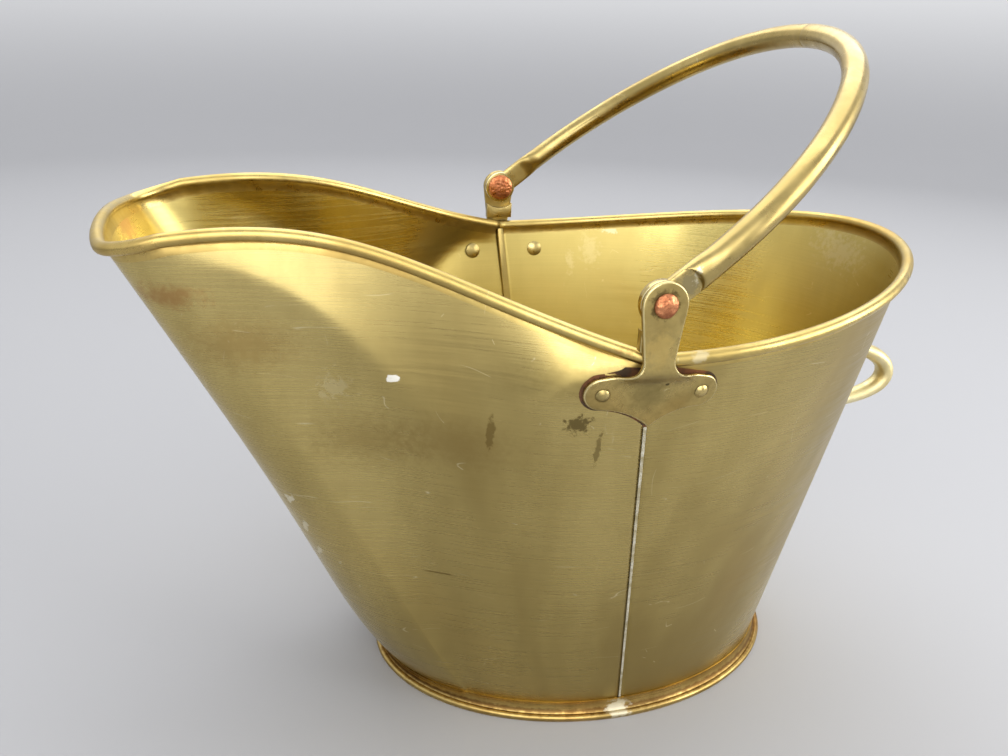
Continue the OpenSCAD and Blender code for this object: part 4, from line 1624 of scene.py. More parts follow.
    def seated_y(self, x: float, z: float, h: float) -> float:
        """Distance of the plate from the mirror plane where it lies on the wall.

        Args:
            x: place along the scuttle.
            z: height.
            h: height above the plate's inner face.

        Returns:
            The distance in millimetres; above the rivets the plate runs straight on.
        """
        off = self.sheet_half + self.seat_gap + h
        rivet_z = PIVOT_Z - self.rivet_drop
        if z <= rivet_z:
            return self.wall_y(x, z, off)
        low_z = rivet_z - self.seat_run
        high, low = self.wall_y(x, rivet_z, off), self.wall_y(x, low_z, off)
        return high + (high - low) / (rivet_z - low_z) * (z - rivet_z)

    def bent(self, p: Vector, side: Side) -> Vector:
        """Bends a point of the flat plate to its place.

        Args:
            p: the point, with its height above the plate's inner face as z.
            side: the side of the scuttle.

        Returns:
            The place in metres of the frame, on the wall below and cranked out past the
            roll above.
        """
        x, z = PIVOT_X + p.x, PIVOT_Z + p.y
        roll_low = PIVOT_Z - self.rim_drop - self.roll_r
        near, far = self.waist_half + self.crank_from, self.waist_half + self.crank_to
        share = 1 - smoothstep(abs(p.x - self.rivet_shift), near, far)
        share *= smoothstep(z, roll_low - self.crank_h, roll_low)
        y = self.plane_y + p.z
        if share < 1:
            y = mix(self.seated_y(x, z, p.z), y, share)
        if p.z > self.thickness / 2:
            where = Vector((p.x, p.y, side.value * self.casting_seed)) * self.casting_scale
            y += self.casting_waves * noise.noise(where)
        return Vector((x, side.value * y, z)) * MM

    def block(self) -> bmesh.types.BMesh:
        """Makes the thicker block above the roll, hollowed for the end of the bail.

        Returns:
            The flat block, before it goes to its place.
        """
        low = -self.rim_drop + self.roll_r + self.block_gap
        corner = math.sqrt(self.block_hollow_r**2 - self.block_half**2)
        path = Outline(Vector((-self.block_half, low, 0)))
        path.line(Vector((self.block_half, low, 0)))
        path.line(Vector((self.block_half, -corner, 0)))
        turn = math.degrees(math.asin(self.block_half / self.block_hollow_r))
        path.arc(Vector((0, 0, 0)), -2 * turn, self.block_steps)
        bm = path.close()
        thicken(bm, self.block_t + self.block_sink)
        soften_edges(bm, self.block_edge, over_degrees=40, segments=2)
        return bm

    def build(self, material: bpy.types.Material, grime_and_shade: bpy.types.Material) -> None:
        """Makes both ears and the dark line round them, partly residue and partly painted contact
        shade.

        Args:
            material: the ears' finish.
            grime_and_shade: the finish of that dark line, residue and painted contact shade.
        """
        for side in Side:
            bm = self.plate()
            thicken(bm, self.thickness)
            self.round_off(bm)
            cut_in_strips(bm, 0, self.strips_u, self.strip)
            low = -self.point_drop + self.strips_over_point
            cut_in_strips(bm, 1, (low, self.eye_r), self.strip)
            for v in bm.verts:
                v.co = self.bent(v.co, side)
            self.add_block(bm, side)
            bmesh.ops.recalc_face_normals(bm, faces=bm.faces)
            finish_mesh(
                f"{side.word}_ear_fine", bm, [material], Slot.CAST,
                stands_for=[f"{side.word}_ear"], sharp_degrees=self.sharp_over,
            )
            self.grime_and_shade_line(side, grime_and_shade)

    def round_off(self, bm: bmesh.types.BMesh) -> None:
        """Rounds the outline and marks it as worn, less so at the back.

        Args:
            bm: the flat plate.
        """
        soften_edges(bm, self.front_edge, over_degrees=60, segments=3)
        marks = bm.verts.layers.float["wear"]
        for v in bm.verts:
            if v.co.z < self.thickness / 2:
                v[marks] *= self.back_wear

    def add_block(self, bm: bmesh.types.BMesh, side: Side) -> None:
        """Adds the block on the inner face of an ear.

        Args:
            bm: the ear's mesh, in place.
            side: its side.
        """
        block = self.block()
        for v in block.verts:
            p = v.co
            y = self.plane_y - self.block_t + p.z
            v.co = Vector((PIVOT_X + p.x, side.value * y, PIVOT_Z + p.y)) * MM
        add_mesh(bm, block)

    def grime_and_shade_line(self, side: Side, material: bpy.types.Material) -> None:
        """Makes the dark line that runs round an ear on the wall: residue, and painted shade where
        the ear meets the wall.

        Args:
            side: the ear's side.
            material: the finish of that residue and painted shade.
        """
        reach = self.grime_and_shade_reach
        wider = replace(
            self,
            lobe_r=self.lobe_r + reach,
            waist_half=self.waist_half + reach,
            shoulder_r=self.shoulder_r - reach,
            point_drop=self.point_drop + self.grime_and_shade_at_point * reach,
        )
        bm = wider.plate()
        top = -self.rim_drop - self.roll_r - self.grime_and_shade_below_roll
        bmesh.ops.bisect_plane(
            bm, geom=everything(bm), plane_co=(0, top, 0), plane_no=(0, 1, 0), clear_outer=True
        )
        cut_in_strips(bm, 0, self.grime_and_shade_strips_u, self.strip)
        low = -self.point_drop - self.grime_and_shade_strips_under_point
        cut_in_strips(bm, 1, (low, top), self.strip)
        outline = {v for v in bm.verts if v.is_boundary}
        add_wear(bm, lambda v: 0.0 if v in outline else 1.0)
        for v in bm.verts:
            x, z = PIVOT_X + v.co.x, PIVOT_Z + v.co.y
            y = self.wall_y(x, z, self.sheet_half + self.grime_and_shade_h)
            v.co = Vector((x, side.value * y, z)) * MM
        for face in bm.faces:
            if face.normal.y * side.value < 0:
                face.normal_flip()
        finish_mesh(f"{side.word}_ear_grime_and_shade", bm, [material], Slot.CAST)


@dataclass
class Fittings:
    """Rivets, seams, base and grip: the solids with smooth curved faces."""

    finishes: dict[Slot, bpy.types.Material]
    sharp_over: float = 35.0

    def build(self) -> None:
        """Makes every fitting."""
        for side in Side:
            self.smooth(f"{side.word}_ear_rivets", Slot.RIVET)
            self.smooth(f"{side.word}_seam_fold", Slot.SHEET)
            self.smooth(f"{side.word}_seam_solder", Slot.SOLDER)
        self.smooth("rear_grip", Slot.GRIP)
        self.smooth("rear_grip_rivets", Slot.RIVET)
        self.smooth("base_plate", Slot.SHEET)

    def smooth(self, node: str, slot: Slot) -> None:
        """Makes one fitting.

        Args:
            node: the solid that it copies and replaces.
            slot: its material slot.
        """
        finish_mesh(
            f"{node}_fine", copy_of(node), [self.finishes[slot]], slot, stands_for=[node],
            sharp_degrees=self.sharp_over,
        )


@dataclass(frozen=True)
class Head:
    """A rivet's head in millimetres: where its flat side lies, and which way it faces."""

    base_y: float
    r: float
    h: float
    way: int


@dataclass
class PivotRivets:
    """The copper rivets of the bail, with hammered heads. Sizes in millimetres."""

    outer: Head = Head(157.35, 6.1, 2.6, 1)
    inner: Head = Head(149.3, 9.3, 2.4, -1)
    shank_r: float = 3.2
    facet: float = 2.6
    facet_blend: float = 0.7
    dent: float = 0.3
    under_share: float = 0.985
    ragged: float = 0.03
    ragged_scale: float = 0.35
    thinnest: float = 0.05
    seed_of_side: float = 7.3
    seed_of_way: float = 2.1
    sharp_over: float = 50.0

    def head(self, head: Head, seed: float) -> bmesh.types.BMesh:
        """Makes a domed head, dented by the hammer.

        Args:
            head: its sizes.
            seed: makes its dents differ from the others'.

        Returns:
            Its mesh, with the flat side at 0.
        """
        bm = bmesh.new()
        bmesh.ops.create_icosphere(bm, subdivisions=5, radius=head.r)
        bmesh.ops.bisect_plane(
            bm, geom=everything(bm), dist=1e-4, plane_co=(0, 0, 0), plane_no=(0, 0, 1),
            clear_inner=True,
        )
        bmesh.ops.holes_fill(bm, edges=[e for e in bm.edges if e.is_boundary])
        for v in bm.verts:
            if v.co.z < 1e-3:
                v.co *= self.under_share
                continue
            place = Vector((v.co.x, v.co.y, seed))
            near, _ = noise.voronoi(place / self.facet)
            flat = self.dent * smoothstep(near[1] - near[0], 0.0, self.facet_blend)
            ragged = 1 + self.ragged * noise.noise(place * self.ragged_scale)
            v.co = Vector((v.co.x * ragged, v.co.y * ragged, v.co.z * head.h / head.r))
            v.co.z = max(self.thinnest, v.co.z - flat * min(1.0, v.co.z))
        return bm

    def build(self, material: bpy.types.Material) -> None:
        """Makes both rivets.

        Args:
            material: their finish.
        """
        half = (self.outer.base_y - self.inner.base_y) / 2
        for side in Side:
            bm = bmesh.new()
            bmesh.ops.create_cone(
                bm, cap_ends=True, segments=48, radius1=self.shank_r, radius2=self.shank_r,
                depth=2 * half,
            )
            bmesh.ops.translate(bm, verts=bm.verts, vec=(0, 0, self.inner.base_y + half))
            for head in (self.outer, self.inner):
                seed = self.seed_of_side * side.value + self.seed_of_way * head.way
                dome = self.head(head, seed)
                bmesh.ops.scale(dome, verts=dome.verts, vec=(1, 1, head.way))
                bmesh.ops.translate(dome, verts=dome.verts, vec=(0, 0, head.base_y))
                add_mesh(bm, dome)
            for v in bm.verts:
                p = v.co
                v.co = Vector((PIVOT_X + p.x, side.value * p.z, PIVOT_Z + p.y)) * MM
            bmesh.ops.recalc_face_normals(bm, faces=bm.faces)
            node = f"{side.word}_pivot_rivet"
            finish_mesh(
                f"{node}_fine", bm, [material], Slot.COPPER, stands_for=[node],
                sharp_degrees=self.sharp_over,
            )


@dataclass
class Bail:
    """The swinging tube, flattened at its ends. Sizes in millimetres; u runs from the pivot
    axis up the bail, w to the side, v across both."""

    rest_degrees: float = 37.6
    half_w: float = 151.7
    reach: float = 191.5
    apex_r: float = 138.5
    leg: float = 23.0
    tube_r: float = 7.0
    round_at: float = 37.0
    paddle_t: float = 4.4
    paddle_r: float = 11.2
    paddle_edge: float = 0.6
    tongue_half: float = 7.6
    tongue_from: float = 4.0
    step_at: float = 19.6
    step_back: float = 4.0
    step_run: float = 2.4
    step_share: float = 0.72
    flat_ends: float = 20.5
    squareness: float = 0.35
    rounding_gain: float = 1.6
    around: int = 48
    fine_step: float = 0.6
    fine_past: float = 2.0
    long_step: float = 4.0
    crease: float = 0.16
    crease_half: float = 1.1
    sharp_over: float = 60.0

    @property
    def shoulder_r(self) -> float:
        """Radius of each shoulder arc."""
        du, dw = self.leg - (self.reach - self.apex_r), self.half_w
        return (self.apex_r**2 - du * du - dw * dw) / (2 * (self.apex_r - dw))

    def stations(self) -> list[float]:
        """Places the tube's sections, close together where it is flattened.

        Returns:
            Distances along half the bail's middle line, from the pivot axis to the top.
        """
        places = []
        at = self.tongue_from
        while at < self.round_at + self.fine_past:
            places.append(at)
            at += self.fine_step
        total = self.half_length()
        end = total - self.crease_half
        count = int((end - at) / self.long_step)
        places += [mix(at, end, k / count) for k in range(count + 1)]
        return [*places, total - self.crease_half / 2, total]

    def angles(self) -> Pair:
        """Finds how far the arcs of half the bail turn.

        Returns:
            The turn of the top arc and of the shoulder arc, in radians.
        """
        du = self.reach - self.apex_r - self.leg
        dw = self.shoulder_r - self.half_w
        top = math.atan2(dw, du)
        return top, math.pi / 2 - top

    def half_length(self) -> float:
        """Length of half the bail's middle line."""
        top, shoulder = self.angles()
        return self.leg + self.shoulder_r * shoulder + self.apex_r * top

    def middle(self, s: float) -> tuple[Vector, Vector]:
        """Point of the middle line, and the outward direction there.

        Args:
            s: distance from the pivot axis.

        Returns:
            The point and the direction, as (u, w).
        """
        top, turn = self.angles()
        shoulder = self.shoulder_r * turn
        if s <= self.leg:
            return Vector((s, self.half_w)), Vector((0, 1))
        if s <= self.leg + shoulder:
            a = math.pi / 2 - (s - self.leg) / self.shoulder_r
            out = Vector((math.cos(a), math.sin(a)))
            return Vector((self.leg, self.half_w - self.shoulder_r)) + out * self.shoulder_r, out
        a = top - (s - self.leg - shoulder) / self.apex_r
        out = Vector((math.cos(a), math.sin(a)))
        return Vector((self.reach - self.apex_r, 0)) + out * self.apex_r, out

    def section(self, s: float, angle: float) -> Pair:
        """Point of the tube's section.

        Args:
            s: distance from the pivot axis.
            angle: angle round the section, 0 outward.

        Returns:
            The point's distances outward of the middle line and across.
        """
        c, v = math.cos(angle), math.sin(angle)
        grown = smoothstep(s, self.flat_ends, self.round_at)
        rise = grown
        if c > 0:
            step = self.step_at - self.step_back * v * v
            rise = self.step_share * smoothstep(s, step, step + self.step_run)
            rise += (1 - self.step_share) * smoothstep(s, step, self.round_at)
        power = mix(self.squareness, 1, min(1, self.rounding_gain * rise))
        side = mix(self.paddle_t / 2, self.tube_r, rise)
        r = mix(self.tongue_half, self.tube_r, grown)
        dent = self.crease * (1 - smoothstep(self.half_length() - s, 0.0, self.crease_half))
        side, r = side - dent, r - dent
        return side * math.copysign(abs(c) ** power, c), r * math.copysign(abs(v) ** power, v)

    def placed(self, u: float, w: float, v: float) -> Vector:
        """Place in the frame of a point of the resting bail."""
        a = math.radians(self.rest_degrees)
        x = PIVOT_X + u * math.cos(a) - v * math.sin(a)
        return Vector((x, w, PIVOT_Z + u * math.sin(a) + v * math.cos(a))) * MM

    def tube(self) -> bmesh.types.BMesh:
        """Makes the whole tube.

        Returns:
            Its mesh, closed at both ends.
        """
        half = self.stations()
        line = [(s, 1) for s in half] + [(s, -1) for s in reversed(half[:-1])]

        def where(i: int, k: int) -> Vector:
            """Place of a corner of the tube."""
            s, sign = line[i]
            point, out = self.middle(s)
            across, v = self.section(s, 2 * math.pi * k / self.around)
            p = point + out * across
            return self.placed(p.x, sign * p.y, v)

        bm = grid_mesh(len(line), self.around + 1, where)
        bmesh.ops.remove_doubles(bm, verts=bm.verts, dist=1e-6)
        bmesh.ops.holes_fill(bm, edges=[e for e in bm.edges if e.is_boundary])
        return bm

    def add_paddles(self, bm: bmesh.types.BMesh) -> None:
        """Adds the two round, flattened ends.

        Args:
            bm: the tube's mesh.
        """
        for side in Side:
            disc = bmesh.new()
            bmesh.ops.create_circle(disc, cap_ends=True, segments=72, radius=self.paddle_r)
            thicken(disc, self.paddle_t)
            soften_edges(disc, self.paddle_edge, over_degrees=60, segments=3)
            for v in disc.verts:
                w = self.half_w - self.paddle_t / 2 + v.co.z
                v.co = self.placed(v.co.x, side.value * w, v.co.y)
            add_mesh(bm, disc)

    def build(self, material: bpy.types.Material) -> bpy.types.Object:
        """Makes the bail.

        Args:
            material: its finish.

        Returns:
            The new object.
        """
        bm = self.tube()
        add_wear(bm, no_wear)
        self.add_paddles(bm)
        bmesh.ops.recalc_face_normals(bm, faces=bm.faces)
        return finish_mesh(
            "bail_fine", bm, [material], Slot.TUBE, Body.BAIL, ["bail_handle"], self.sharp_over
        )


# ---------- studio ----------


@dataclass(frozen=True)
class Lamp:
    """A soft rectangular lamp, in metres and watts. The camera sees it only in reflections."""

    name: str
    at: Row
    aim: Row
    size: Pair
    power: float

    def build(self) -> None:
        """Hangs the lamp."""
        data = bpy.data.lights.new(self.name, "AREA")
        data.shape = "RECTANGLE"
        data.size, data.size_y = self.size
        data.energy = self.power
        obj = bpy.data.objects.new(self.name, data)
        obj.location = self.at
        obj.rotation_mode = "QUATERNION"
        obj.rotation_quaternion = (Vector(self.aim) - Vector(self.at)).to_track_quat("-Z", "Y")
        obj.visible_camera = False
        bpy.context.scene.collection.objects.link(obj)


@dataclass(frozen=True)
class Studio:
    """Camera at the photograph's angle, soft lamps, a plain pale floor and backdrop.

    Everything is in metres. The camera's directions come from the photograph.
    """

    camera_at: Row = (-0.17509, -0.520, 0.4108)
    lens: float = 32.143
    sensor: float = 36.0
    right: Row = (0.96690, -0.25241, 0.03744)
    down: Row = (-0.06003, -0.36758, -0.92805)
    forward: Row = (0.24801, 0.89508, -0.37056)
    floor_half: float = 2.4
    sweep_r: float = 1.1
    sweep_steps: int = 20
    floor_sides: int = 96
    backdrop_z: float = 3.4
    pale: Row = (0.40, 0.40, 0.41)
    pale_roughness: float = 0.9
    pale_gloss: float = 0.1
    backdrop: Row = (0.93, 0.94, 0.96)
    paler_from: float = 0.02
    paler_to: float = 0.9
    sky: Row = (0.80, 0.82, 0.86)
    sky_strength: float = 1.1
    lamps: tuple[Lamp, ...] = (
        Lamp("key", (-0.24, -1.42, 0.62), (0.0, 0.0, 0.45), (1.25, 1.2), 8.6),
        Lamp("high_key", (-0.75, -1.95, 1.7), (0.0, 0.0, 0.2), (2.6, 1.3), 22),
        Lamp("fill", (1.9, -0.9, 0.8), (0.0, 0.0, 0.1), (1.6, 1.3), 34),
        Lamp("top", (0.35, 1.0, 2.3), (0.0, 0.0, 0.15), (3.4, 2.8), 68),
    )

    def camera(self) -> None:
        """Makes the camera."""
        data = bpy.data.cameras.new("camera")
        data.lens = self.lens
        data.sensor_width = self.sensor
        cam = bpy.data.objects.new("camera", data)
        turn = Matrix((self.right, -Vector(self.down), -Vector(self.forward))).transposed()
        cam.matrix_world = Matrix.Translation(self.camera_at) @ turn.to_4x4()
        bpy.context.scene.collection.objects.link(cam)
        bpy.context.scene.camera = cam

    def floor(self) -> None:
        """Makes the pale round floor that curves up into the backdrop on all sides."""
        path = Outline(Vector((0, 0, 0)))
        path.line(Vector((self.floor_half, 0, 0)))
        path.arc(Vector((self.floor_half, self.sweep_r, 0)), 90, self.sweep_steps)
        path.line(Vector((self.floor_half + self.sweep_r, self.backdrop_z, 0)))
        bm = path.bm
        bmesh.ops.rotate(bm, verts=bm.verts, matrix=Matrix.Rotation(math.pi / 2, 3, "X"))
        bmesh.ops.spin(
            bm, geom=[*bm.verts, *bm.edges], cent=(0, 0, 0), axis=(0, 0, 1),
            angle=2 * math.pi, steps=self.floor_sides, use_merge=True,
        )
        bmesh.ops.remove_doubles(bm, verts=bm.verts, dist=1e-5)
        bmesh.ops.recalc_face_normals(bm, faces=bm.faces)
        for f in bm.faces:
            f.smooth = True
        mesh = bpy.data.meshes.new("floor")
        bm.to_mesh(mesh)
        bm.free()
        mesh.materials.append(self.surround())
        obj = bpy.data.objects.new("floor", mesh)
        bpy.context.scene.collection.objects.link(obj)

    def surround(self) -> bpy.types.Material:
        """Makes the floor's matt paint, which turns into a plain light backdrop higher up.

        Returns:
            The material. Lamps light it as paint at every height; only what is seen of it,
            straight or in the metal, grows lighter.
        """
        surface = Surface.new("floor")
        tree = surface.tree
        surface.set("Base Color", (*self.pale, 1))
        surface.set("Roughness", self.pale_roughness)
        surface.set("Specular IOR Level", self.pale_gloss)
        glow = tree.add("ShaderNodeEmission")
        glow.inputs["Color"].default_value = (*self.backdrop, 1)
        rays = tree.add("ShaderNodeLightPath").outputs
        seen = tree.math("ADD", rays["Is Camera Ray"], rays["Is Glossy Ray"])
        seen = tree.math("ADD", seen, rays["Is Transmission Ray"], clamp=True)
        place = tree.add("ShaderNodeSeparateXYZ")
        tree.join(tree.here(), place.inputs[0])
        share = tree.ramp(place.outputs["Z"], self.paler_from, self.paler_to)
        both = tree.add("ShaderNodeMixShader")
        tree.join(tree.math("MULTIPLY", seen, share), both.inputs[0])
        tree.join(surface.shader.outputs[0], both.inputs[1])
        tree.join(glow.outputs[0], both.inputs[2])
        tree.join(both.outputs[0], surface.out.inputs[0])
        return surface.material

    def world(self) -> None:
        """Sets a plain pale sky."""
        world = bpy.data.worlds.new("studio")
        bpy.context.scene.world = world
        world.use_nodes = True
        background = world.node_tree.nodes["Background"]
        background.inputs["Color"].default_value = (*self.sky, 1)
        background.inputs["Strength"].default_value = self.sky_strength

    def build(self) -> None:
        """Sets up the whole studio."""
        self.camera()
        self.floor()
        self.world()
        for lamp in self.lamps:
            lamp.build()
        bpy.context.scene.view_settings.view_transform = "Standard"


# ---------- finishes of this scuttle ----------

WALL_MARKS = (
    Blot("pale_chip", (-0.1166, -0.0959, 0.2391), (0.0035, 0.02, 0.0022),
         "f4f1e6", 0.95, 0.6, 0.35, 0.2),
    Blot("pale_rub", (-0.1455, -0.0828, 0.2302), (0.009, 0.02, 0.010),
         "d8cba0", 0.3, 0.45, 1.0, 0.7),
    Blot("brown_streak", (-0.0700, -0.1183, 0.2153), (0.0022, 0.02, 0.0105),
         "5f4a20", 0.6, 0.6, 0.5, 0.4),
    Blot("brown_blot", (-0.0299, -0.1371, 0.2246), (0.0065, 0.02, 0.0055),
         "46371a", 0.75, 0.65, 0.7, 0.4),
    Blot("streak_below_ear", (-0.0177, -0.1362, 0.2092), (0.0020, 0.02, 0.010),
         "4d3c1b", 0.55, 0.6, 0.8, 0.4),
    Blot("edge_speck_high", (-0.1699, -0.0570, 0.1537), (0.0018, 0.02, 0.0035),
         "efe9d2", 0.7, 0.6, 1.2),
    Blot("edge_speck_middle", (-0.1623, -0.0532, 0.1328), (0.0015, 0.02, 0.0045),
         "efe9d2", 0.6, 0.6, 1.2),
    Blot("edge_speck_low", (-0.1543, -0.0509, 0.1134), (0.0013, 0.02, 0.004),
         "efe9d2", 0.55, 0.6, 1.2),
    Blot("rust_under_lip", (-0.2220, -0.0710, 0.2790), (0.024, 0.02, 0.009),
         "9c6a3c", 0.6, 0.42, 0.45, 1.0),
    Blot("cloud_under_lip", (-0.1900, -0.0770, 0.2540), (0.045, 0.03, 0.020),
         "94713c", 0.4, 0.4, 0.3, 1.05),
    Blot("fine_cut", (-0.0886, -0.0865, 0.1121), (0.010, 0.02, 0.0007),
         "5e4a22", 0.6, 0.5, 0.3, 0.4),
    Blot("solder_at_foot", (0.0246, -0.1013, 0.0050), (0.010, 0.02, 0.006),
         "d9d2b8", 0.7, 0.6, 0.7),
    # Painted shadow: dark red-brown in the gaps between the roll's underside and the ear's
    # shoulders.
    Blot("painted_shadow_round_ear", (-0.0050, -0.1440, 0.2500), (0.018, 0.02, 0.012),
         "6e4a26", 0.5, 0.5, 0.5, 0.9),
    # Painted shade: the wall below the swell's ridge is painted darker, standing in for its darker
    # reflection.
    Blot("painted_shade_under_ridge_front", (-0.1300, -0.0850, 0.2000), (0.040, 0.05, 0.022),
         "8a7240", 0.45, 0.34, 0.3, 1.0),
    Blot("painted_shade_under_ridge", (-0.0850, -0.1050, 0.2050), (0.045, 0.05, 0.022),
         "8a7240", 0.40, 0.34, 0.3, 1.0),
    # Painted shade: darker under the roll in front of the ear, where the roll overhangs the wall.
    Blot("painted_shade_before_ear", (-0.0350, -0.1370, 0.2500), (0.040, 0.03, 0.018),
         "8f7c45", 0.55, 0.36, 0.2, 1.0),
)
INNER_MARKS = (
    Blot("pink_in_lip_right", (-0.2509, 0.0216, 0.2944), (0.012, 0.025, 0.014),
         "c88a68", 0.55, 0.42, 0.4, 0.9),
    Blot("pink_in_lip_left", (-0.2400, -0.0300, 0.2880), (0.016, 0.030, 0.016),
         "bf8a5c", 0.45, 0.42, 0.4, 1.0),
    Blot("pale_spot_far", (0.0888, 0.1371, 0.2592), (0.006, 0.02, 0.003),
         "efe6c6", 0.45, 0.5, 0.8, 0.5),
    Blot("pale_cloud_far", (0.0735, 0.1377, 0.2434), (0.008, 0.02, 0.014),
         "ecdfae", 0.2, 0.4, 0.9, 0.9),
    Blot("pale_drip_far", (0.0578, 0.1392, 0.2354), (0.004, 0.02, 0.009),
         "ecdfae", 0.22, 0.4, 0.9, 0.9),
    Blot("pale_cloud_rear", (0.2147, 0.0186, 0.2690), (0.012, 0.030, 0.014),
         "e9dfc0", 0.2, 0.4, 0.9, 0.9),
)
ROLL_MARKS = (
    Blot("pale_spot_behind_ear", (0.0235, -0.1535, 0.2637), (0.0045, 0.01, 0.004),
         "c9bd98", 0.7, 0.7, 0.8, 0.5),
    Blot("rust_before_ear", (-0.0180, -0.1515, 0.2660), (0.012, 0.01, 0.003),
         "8a4f2c", 0.6, 0.5, 0.6, 0.8),
)
FOOT_MARKS = (
    Blot("line_over_bead", (0.0272, 0.0, 0.0056), (2.0, 2.0, 0.0020),
         "5a3818", 0.75, 0.45, 0.45, 0.9),
    Blot("solder_at_seam", (0.0250, -0.1060, 0.0060), (0.0085, 0.02, 0.006),
         "d9d2b8", 0.8, 0.6, 0.6, 0.5),
)
# Sizes of the painted shadow rings round the heads of the ear rivets and of the pivot rivets.
RIVET_RING = (0.0043, 0.01, 0.0043)
PIVOT_RING = (0.0080, 0.002, 0.0075)
EAR_MARKS = (
    # Painted shade and highlight: the ear's lower plate is painted darker and its cranked neck
    # brighter, as the two planes catch the light differently.
    Blot("painted_shade_middle", (0.0010, -0.1490, 0.2440), (0.014, 0.02, 0.016),
         "75683f", 0.6, 0.36, 0.3, 1.0),
    Blot("painted_highlight_waist", (0.0010, -0.1570, 0.2700), (0.010, 0.02, 0.012),
         "cdb068", 0.5, 0.32, 0.5, 0.8),
    # Painted shadow: a dark ring round each rivet head, where the head meets the ear.
    Blot("painted_shadow_left_front", (-0.0216, -0.1450, 0.2435), RIVET_RING, "33270f", 0.8, 0.7, 0.1, 0.35),
    Blot("painted_shadow_left_rear", (0.0294, -0.1480, 0.2435), RIVET_RING, "33270f", 0.7, 0.7, 0.2, 0.35),
    Blot("painted_shadow_right_front", (-0.0216, 0.1450, 0.2435), RIVET_RING, "33270f", 0.7, 0.7, 0.2, 0.35),
    Blot("painted_shadow_right_rear", (0.0294, 0.1480, 0.2435), RIVET_RING, "33270f", 0.7, 0.7, 0.2, 0.35),
    Blot("painted_shadow_left_pivot", (0.0005, -0.1572, 0.2916), PIVOT_RING, "4b3b22", 0.75, 0.6, 0.4, 0.35),
    Blot("painted_shadow_right_pivot", (0.0005, 0.1572, 0.2916), PIVOT_RING, "4b3b22", 0.75, 0.6, 0.4, 0.35),
    Blot("pit", (0.0100, -0.1490, 0.2490), (0.0012, 0.01, 0.0009), "2c2413", 0.8, 0.7, 0.2, 0.3),
)
TUBE_MARKS = (
    Blot("grey_left", (0.0130, -0.1539, 0.3000), (0.0075, 0.002, 0.0065),
         "857b5c", 0.75, 0.45, 0.5, 0.5),
    Blot("pale_left", (0.0165, -0.1560, 0.3030), (0.0020, 0.003, 0.0050),
         "ded6b8", 0.6, 0.45, 0.9, 0.5),
    Blot("grey_right", (0.0130, 0.1539, 0.3000), (0.0075, 0.002, 0.0065),
         "857b5c", 0.6, 0.45, 0.5, 0.5),
)
SHEET_BRASS = Metal(
    "sheet_brass", clean="c5b172", dull="97834d", warm="bb9750", worn="e6dab0",
    tarnish_scale=5.0, tarnish=0.8, warmth=0.35, mottle=0.16, roughness=0.31, scratch=0.6,
    wave=0.0007, wave_scale=13.0, blots=WALL_MARKS,
)
# Painted light: the inner brass is paler than the outer, standing in for the stronger light inside
# the scuttle.
INNER_BRASS_PAINTED_LIGHT = Metal(
    "inner_brass_painted_light", clean="d6c47a", dull="b8a460", warm="cbaa5c", worn="efe2b4",
    tarnish_scale=7.0, tarnish=0.6, warmth=0.4, mottle=0.2, roughness=0.3, scratch=0.3,
    wave=0.0007, wave_scale=13.0, blots=INNER_MARKS,
)
ROLLED_BRASS = Metal(
    "rolled_brass", clean="c9b26e", dull="a18a4c", warm="bf9850", worn="e6d8a6",
    tarnish_scale=16.0, tarnish=0.6, mottle=0.2, roughness=0.36, scratch=0.3,
    grain=Grain.RANDOM, wave=0.00018, wave_scale=55.0, blots=ROLL_MARKS,
)
FOOT_BRASS = Metal(
    "foot_brass", clean="bfa565", dull="8a6d36", warm="b07e3c", worn="dccb96",
    tarnish_scale=16.0, tarnish=0.6, mottle=0.35, roughness=0.36, scratch=0.4,
    wave=0.0002, wave_scale=50.0, blots=FOOT_MARKS,
)
CAST_BRASS = Metal(
    "cast_brass", clean="b9a468", dull="8a7746", warm="ae8f4f", worn="dfcf98",
    grain=Grain.RANDOM, tarnish_and_sheen_stretch=(1, 1, 1), tarnish_scale=30.0, tarnish=0.6, mottle=0.3,
    roughness=0.36, scratch=0.6, pits=0.00004, wave=0.0003, wave_scale=60.0,
    blots=EAR_MARKS,
)
RIVET_BRASS = Metal(
    "rivet_brass", clean="cbb87c", dull="8f7d49", warm="b8985a", worn="e8dcb2",
    grain=Grain.RANDOM, tarnish_and_sheen_stretch=(1, 1, 1), tarnish_scale=70.0, mottle=0.3,
    roughness=0.34, scratch=0.3, wave=0.00005, wave_scale=260.0,
)
TUBE_BRASS = Metal(
    "tube_brass", clean="c6b074", dull="94804a", warm="bf974f", worn="efe4bb",
    grain=Grain.ALONG_BAIL, tarnish_and_sheen_stretch=(1, 1, 1), tarnish_scale=13.0, tarnish=0.65,
    mottle=0.25, roughness=0.27, scratch=0.5, wave=0.00012, wave_scale=60.0,
    blots=TUBE_MARKS,
)
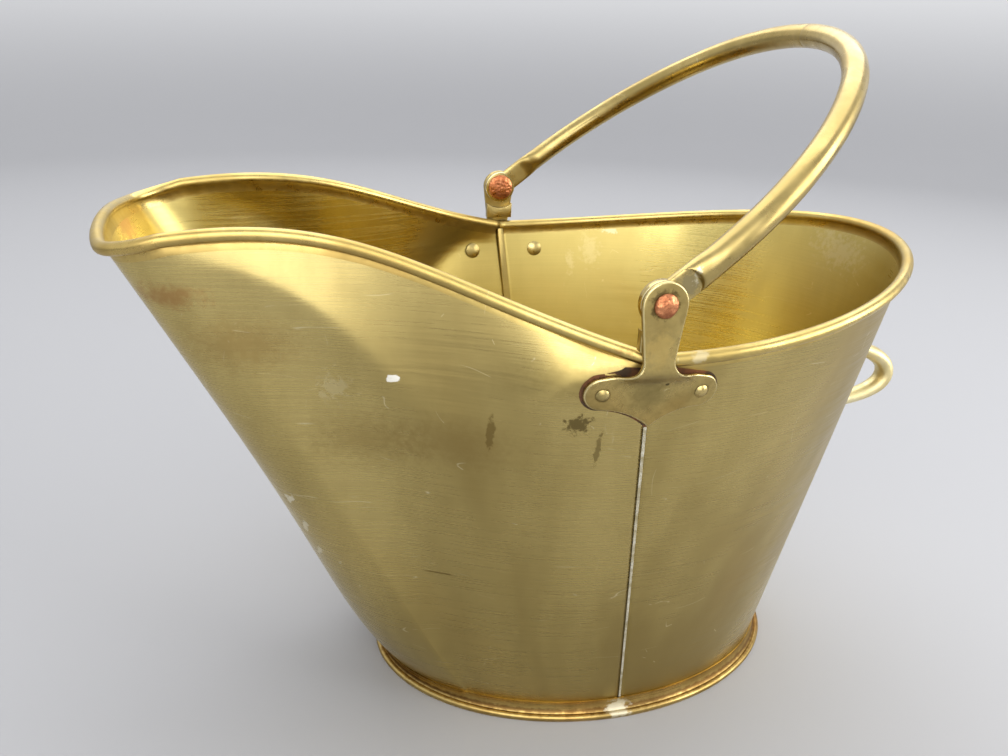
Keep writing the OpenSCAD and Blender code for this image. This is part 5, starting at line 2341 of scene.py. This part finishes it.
# Painted highlight: the grip's clean colour is made very pale to stand in for the bright reflection
# on it.
GRIP_BRASS_PAINTED_HIGHLIGHT = Metal(
    "grip_brass", clean="f3e7bd", dull="d2c38c", warm="c3a160", worn="f1e8c6",
    grain=Grain.RANDOM, tarnish_and_sheen_stretch=(1, 1, 1), tarnish_scale=30.0, mottle=0.2,
    roughness=0.42, scratch=0.3, wave=0.00015, wave_scale=70.0,
)
COPPER = Metal(
    "hammered_copper", clean="d48f63", dull="8e5034", warm="c9733f", worn="f0c39c",
    grain=Grain.RANDOM, tarnish_and_sheen_stretch=(1, 1, 1), tarnish_scale=150.0, tarnish=0.7,
    mottle=0.45, roughness=0.36, scratch=0.3, pits=0.00003,
)
SOLDER = Metal(
    "soft_solder", clean="dcd8c6", dull="9a8e66", warm="b3a26c", worn="f0eee2",
    grain=Grain.RANDOM, tarnish_and_sheen_stretch=(1, 1, 1), tarnish_scale=140.0, tarnish=0.8,
    mottle=0.5, metallic=0.55, roughness=0.5, scratch=0.2, pits=0.00006,
)
STEEL = Metal(
    "rim_wire_steel", clean="a5a6a8", dull="77797c", warm="8d8578", worn="c9cacc",
    grain=Grain.RANDOM, tarnish_scale=60.0, roughness=0.45, scratch=0.2,
)
FINISH_OF = {
    Slot.SHEET: SHEET_BRASS,
    Slot.FOOT: FOOT_BRASS,
    Slot.CAST: CAST_BRASS,
    Slot.RIVET: RIVET_BRASS,
    Slot.TUBE: TUBE_BRASS,
    Slot.GRIP: GRIP_BRASS_PAINTED_HIGHLIGHT,
    Slot.COPPER: COPPER,
    Slot.SOLDER: SOLDER,
    Slot.STEEL: STEEL,
}


def dress_solids(finishes: dict[Slot, bpy.types.Material]) -> None:
    """Gives every solid of the frame the finish of its slot.

    Args:
        finishes: the materials.
    """
    for entry in frame["record"]["subparts"]:
        node = frame["nodes"][entry["node"]]
        for slot in node.material_slots:
            slot.material = finishes[Slot(entry["material_slot"])]


def tree_of(meshes: Sequence[bmesh.types.BMesh]) -> BVHTree:
    """Makes one search tree of several meshes, which stay as they are.

    Args:
        meshes: the meshes.

    Returns:
        The tree, for finding where a ray meets them.
    """
    both = bmesh.new()
    for bm in meshes:
        add_mesh(both, bm.copy())
    tree = BVHTree.FromBMesh(both)
    both.free()
    return tree


def main() -> None:
    """Builds and dresses every sub-assembly in order."""
    form, effects = BodyForm(), Effects()
    Studio().build()
    finishes = {slot: metal.build(effects) for slot, metal in FINISH_OF.items()}
    dress_solids(finishes)

    sheets = Sheets(form)
    front = form.frames_of_front(sheets.front_parts)
    rear = form.frames_of_rear(sheets.rear_count)
    surfaces = [sheets.sheet(front), sheets.sheet(rear)]
    walls = tree_of(surfaces)
    roll = ROLLED_BRASS.build(effects)
    skins = [INNER_BRASS_PAINTED_LIGHT.build(effects), roll, finishes[Slot.SHEET], roll]
    sheets.build("front_sheet", surfaces[0], skins, "front_shell")
    sheets.build("rear_sheet", surfaces[1], skins, "rear_shell")
    FootRing(form).build(front + rear, finishes[Slot.FOOT])
    Ears(walls).build(finishes[Slot.CAST], ResidueAndShade().build())
    Fittings(finishes).build()
    PivotRivets().build(finishes[Slot.COPPER])
    Bail().build(finishes[Slot.TUBE])


if __name__ == "__main__":
    main()
